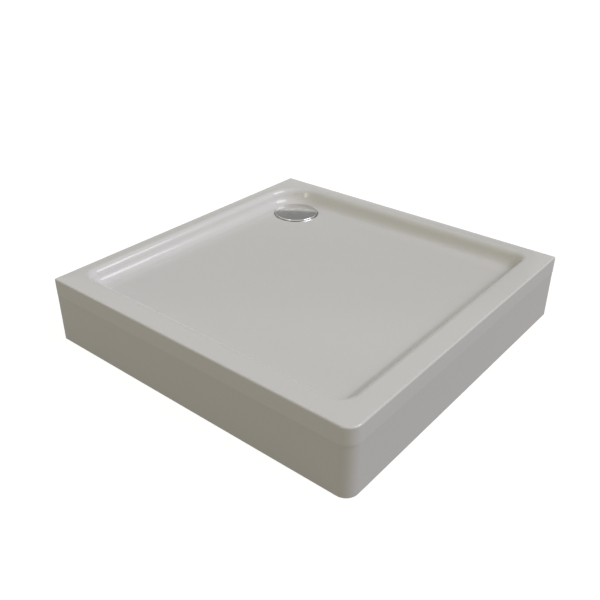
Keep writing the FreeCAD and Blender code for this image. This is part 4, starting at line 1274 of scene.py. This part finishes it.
@dataclass
class Waste:
    """Corner waste: flange, seals, chromed cover, lift-out insert and the trap with its outlet."""

    crown: float = 0.7 * MM
    edge_round: float = 1.4 * MM
    seal_round: float = 0.35 * MM
    rings: int = 12
    cover_steps: int = 160
    edge_steps: int = 7
    axis: Vector = field(init=False)

    def __post_init__(self) -> None:
        """Read the waste's axis from the frame."""
        _, _, self.axis, _ = round_box("waste_flange")

    def build(self, chrome: Material, steel: Material, rubber: Material) -> None:
        """Model the cover, the flange and the three round seals."""
        self._cover(chrome)
        self._flange(steel)
        for node, name, body, inner in (("flange_gasket", "flange_seal", "tray", 45 * MM),
                                        ("trap_gasket", "collar_seal", "tray", 45 * MM),
                                        ("insert_seal", "insert_ring", "insert", 34.3 * MM)):
            low, high, _, outer = round_box(node)
            seal = turned(name, self.axis, [(inner, low.z), (outer, low.z), (outer, high.z),
                                            (inner, high.z)], steps=96, edge=self.seal_round)
            dress(seal, body, rubber, "black_rubber", node)

    def trap(self, grey: Material, dark: Material, pale: Material, rubber: Material) -> None:
        """Finish the trap, its outlet joint and the insert from their solids."""
        for node, name, body, finish, slot, edge in (
                ("trap_body", "trap_cup", "tray", grey, "grey_plastic", 0.4),
                ("trap_base", "trap_bottom", "tray", grey, "grey_plastic", 0.3),
                ("outlet_branch", "branch", "tray", grey, "grey_plastic", 0.4),
                ("outlet_pipe", "spigot", "outlet", grey, "grey_plastic", 0.3),
                ("outlet_nut", "union_nut", "tray", dark, "dark_plastic", 0.4),
                ("outlet_seal", "ball_seal", "tray", rubber, "black_rubber", 0.5),
                ("trap_insert", "insert", "insert", pale, "pale_plastic", 0.3),
                ("dip_tube", "insert_tube", "insert", pale, "pale_plastic", 0.3),
                ("cover_legs", "cover_carrier", "cover", pale, "pale_plastic", 0.3)):
            dress(traced(node, name, degrees=30, edge=edge * MM), body, finish, slot, node)

    def _cover(self, finish: Material) -> None:
        """Model the cover from a disc, with a slight crown and a round edge."""
        low, high, _, radius = round_box("waste_cover")
        top = high.z - self.crown
        fresh()
        bpy.ops.mesh.primitive_circle_add(
            vertices=self.cover_steps, radius=radius, fill_type="NGON",
            location=(self.axis.x, self.axis.y, low.z))
        cover = settle(bpy.context.object)
        edit(cover, "SELECT")
        extrude(z=top - self.edge_round - low.z)
        for up, across in arc(math.pi / 2, self.edge_steps):
            bpy.ops.mesh.inset(thickness=self.edge_round * across, depth=self.edge_round * up)
        flat = radius - self.edge_round
        for ring in range(self.rings):
            start, end = 1 - ring / self.rings, 1 - (ring + 1) / self.rings
            narrow = flat / self.rings * (0.97 if ring == self.rings - 1 else 1.0)
            bpy.ops.mesh.inset(thickness=narrow, depth=self.crown * (start ** 2 - end ** 2))
        outward(cover)
        only(cover)
        bpy.ops.object.shade_smooth_by_angle(angle=math.radians(50))
        dress(named(cover, "cover"), "cover", finish, "chrome_cover", "waste_cover")

    def _flange(self, finish: Material) -> None:
        """Turn the waste's ring with its neck, ledge and coarse outside thread."""
        low, high, _, radius = round_box("waste_flange")
        throat, ledge, shelf = 38 * MM, 34 * MM, low.z + 2.5 * MM
        neck, plate = 41.5 * MM, 2 * MM
        valley, edge, lead = neck - 0.9 * MM, 1.2 * MM, 1.4 * MM
        pitch, first = 3 * MM, low.z + 1.5 * MM
        profile = [(ledge, low.z), (valley, low.z)]
        for tooth in range(5):
            foot = first + tooth * pitch
            profile += [(valley, foot), (neck, foot + 0.8 * MM), (neck, foot + 1.4 * MM),
                        (valley, foot + 2.2 * MM)]
        bed = high.z - plate
        profile += [(neck, foot + 4 * MM), (neck, bed), (radius, bed), (radius, high.z - edge),
                    (radius - edge, high.z), (throat + lead, high.z), (throat, high.z - lead),
                    (throat, shelf), (ledge, shelf)]
        flange = turned("flange", self.axis, profile, steps=128, edge=0.25 * MM)
        dress(flange, "tray", finish, "steel_flange", "waste_flange")


# ---- floor, light and camera -------------------------------------------------------------------

@dataclass(frozen=True)
class Lamp:
    """Distant soft lamp.

    Attributes:
        name: Its name.
        direction: Where it shines from.
        strength: Light on a surface that faces it.
        colour: Its colour.
        spread: How wide it is seen, in degrees.
    """

    name: str
    direction: Point
    strength: float
    colour: Colour
    spread: float

    def build(self) -> None:
        """Add the lamp."""
        light = bpy.data.lights.new(self.name, "SUN")
        light.energy = self.strength
        light.angle = math.radians(self.spread)
        light.color = self.colour
        turn = Vector(self.direction).to_track_quat("Z", "Y")
        linked(self.name, light).rotation_euler = turn.to_euler()


@dataclass(frozen=True)
class Studio:
    """Plain pale floor, soft light and the world, as the photograph's surroundings look."""

    floor_radius: float = 9.0
    floor_colour: Colour = (0.13, 0.12, 0.10)
    floor_other: Colour = (0.11, 0.10, 0.085)
    floor_white: float = 0.965
    reflected: float = 0.41
    ambient: Colour = (1.0, 0.965, 0.82)
    ambient_strength: float = 0.40
    lamps: tuple[Lamp, ...] = (
        Lamp("key", (0.31, 0.165, 0.365), 1.53, (1.0, 1.0, 1.12), 34.0),
        Lamp("fill", (0.05, -1.0, 0.14), 0.39, (1.0, 0.92, 0.74), 14.0))
    card_place: Point = (-1.19, 1.237, 0.926)
    card_turn: float = math.radians(32)
    card_size: Point = (2.4, 2.4, 0.5)
    card_glow: Colour = (0.2, 0.2, 0.2)

    def build(self) -> None:
        """Add the floor, the world, the lamps and the card."""
        self._floor()
        self._world()
        for lamp in self.lamps:
            lamp.build()
        self._card()

    def _seen(self, graph: Graph) -> Socket:
        """How white a ray sees the surroundings: fully from the camera and less in gloss."""
        path = graph.add("LightPath")
        gloss = graph.math("MULTIPLY", path.outputs["Is Glossy Ray"], self.reflected)
        shown = graph.math("MAXIMUM", path.outputs["Is Camera Ray"], gloss)
        return graph.math("MAXIMUM", shown, path.outputs["Is Transmission Ray"])

    def _floor(self) -> None:
        """Level floor that looks white and keeps the object's shadow."""
        fresh()
        bpy.ops.mesh.primitive_circle_add(vertices=64, radius=self.floor_radius, fill_type="NGON")
        floor = named(bpy.context.object, "floor")
        sheet = Sheet("pale floor", Roughness=0.9, Specular_IOR_Level=0.0,
                      Emission_Color=(1.0, 1.0, 1.0))
        graph = sheet.graph
        speck = graph.math("MULTIPLY", graph.noise(sheet.place, scale=6.0, detail=3.0), 0.08)
        sheet.set(Base_Color=graph.mix(speck, self.floor_colour, self.floor_other),
                  Emission_Strength=graph.math("MULTIPLY", self._seen(graph), self.floor_white))
        floor.data.materials.append(sheet.material)

    def _world(self) -> None:
        """Even surroundings, white where they are seen."""
        world = bpy.data.worlds.new("surroundings")
        bpy.context.scene.world = world
        world.use_nodes = True
        graph = Graph(world.node_tree)
        shader = world.node_tree.nodes["Background"]
        seen = self._seen(graph)
        dim = tuple(part * self.ambient_strength for part in self.ambient)
        graph.feed(shader.inputs["Color"], graph.mix(seen, dim, (1.0, 1.0, 1.0)))

    def _card(self) -> None:
        """Grey card behind the corner of the walls, which only reflections show."""
        fresh()
        bpy.ops.mesh.primitive_plane_add(size=1, location=self.card_place,
                                         rotation=(math.pi / 2, 0, self.card_turn))
        card = named(bpy.context.object, "grey_card")
        bpy.ops.transform.resize(value=self.card_size)
        card.visible_camera = False
        card.visible_diffuse = False
        card.visible_shadow = False
        sheet = Sheet("grey card", Base_Color=(0.05, 0.05, 0.05), Emission_Color=self.card_glow,
                      Emission_Strength=1.0)
        card.data.materials.append(sheet.material)


@dataclass(frozen=True)
class PhotoCamera:
    """Camera at the photograph's place, fitted to the outline of the tray."""

    azimuth: float = math.radians(39.3727)
    elevation: float = math.radians(30.0725)
    roll: float = math.radians(0.1191)
    target: Point = (-0.09861, 0.07685, 0.0014)
    distance: float = 1.82403
    focal_pixels: float = 732.14
    image_pixels: float = 600.0
    sensor: float = 36.0

    def build(self) -> None:
        """Add the camera and make it the scene's."""
        back = Vector((math.sin(self.azimuth) * math.cos(self.elevation),
                       -math.cos(self.azimuth) * math.cos(self.elevation),
                       math.sin(self.elevation)))
        level = Vector((math.cos(self.azimuth), math.sin(self.azimuth), 0))
        upright = back.cross(level)
        right = level * math.cos(self.roll) + upright * math.sin(self.roll)
        up = upright * math.cos(self.roll) - level * math.sin(self.roll)
        lens = bpy.data.cameras.new("photo")
        lens.sensor_width = self.sensor
        lens.lens = self.focal_pixels / self.image_pixels * self.sensor
        camera = linked("photo", lens)
        turn = Matrix((right, up, back)).transposed().to_4x4()
        camera.matrix_world = Matrix.Translation(
            Vector(self.target) + back * self.distance) @ turn
        bpy.context.scene.camera = camera


# ---- the whole tray ----------------------------------------------------------------------------


def main() -> None:
    """Build every sub-assembly, dress it and set up the picture."""
    logging.basicConfig(level=logging.INFO, format="%(name)s: %(message)s")
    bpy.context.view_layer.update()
    bpy.context.scene.view_settings.view_transform = "Standard"

    waste = Waste()
    acrylic = Acrylic("white acrylic").material()
    # The apron's acrylic is the shell's made darker: painted shade for the lower light on the
    # upright panel compared with the lip above it.
    panel = Acrylic("white acrylic panel in painted shade", colour=(0.64, 0.635, 0.625),
                    shade=(0.628, 0.623, 0.612), gloss=0.22).material()
    laminate = GlassfibreBack("laminated back").material()
    chrome = Chrome("polished chrome").material()
    stainless = TurnedSteel("turned stainless", (waste.axis.x, waste.axis.y)).material()
    galvanised = PlatedSteel("galvanised steel", (0.52, 0.53, 0.54), (0.40, 0.41, 0.43),
                             gloss=0.42, crystal=240.0, relief=0.2).material()
    zinc = PlatedSteel("zinc plate", (0.66, 0.66, 0.63), (0.56, 0.58, 0.60), gloss=0.26).material()
    spring = PlatedSteel("spring steel", (0.23, 0.235, 0.25), (0.15, 0.15, 0.165),
                         gloss=0.3).material()
    rubber = Rubber("black rubber").material()
    grey = MouldedPlastic("grey plastic", (0.26, 0.27, 0.28), (0.22, 0.225, 0.235)).material()
    dark = MouldedPlastic("dark plastic", (0.045, 0.046, 0.05), (0.03, 0.03, 0.033)).material()
    pale = MouldedPlastic("pale plastic", (0.62, 0.62, 0.60), (0.56, 0.56, 0.53)).material()

    TrayShell().build(acrylic, laminate)
    screws = Screws(zinc)
    apron = Apron()
    apron.build(panel)
    apron.clips(spring, screws)
    Feet().build(zinc, dark, galvanised, screws)
    screws.done()
    waste.build(chrome, stainless, rubber)
    waste.trap(grey, dark, pale, rubber)
    repaint("base_board", Chipboard("chipboard").material())
    repaint("front_batten", Timber("timber along X", Along.X).material())
    repaint("side_batten", Timber("timber along Y", Along.Y).material())

    Studio().build()
    PhotoCamera().build()


if __name__ == "__main__":
    main()
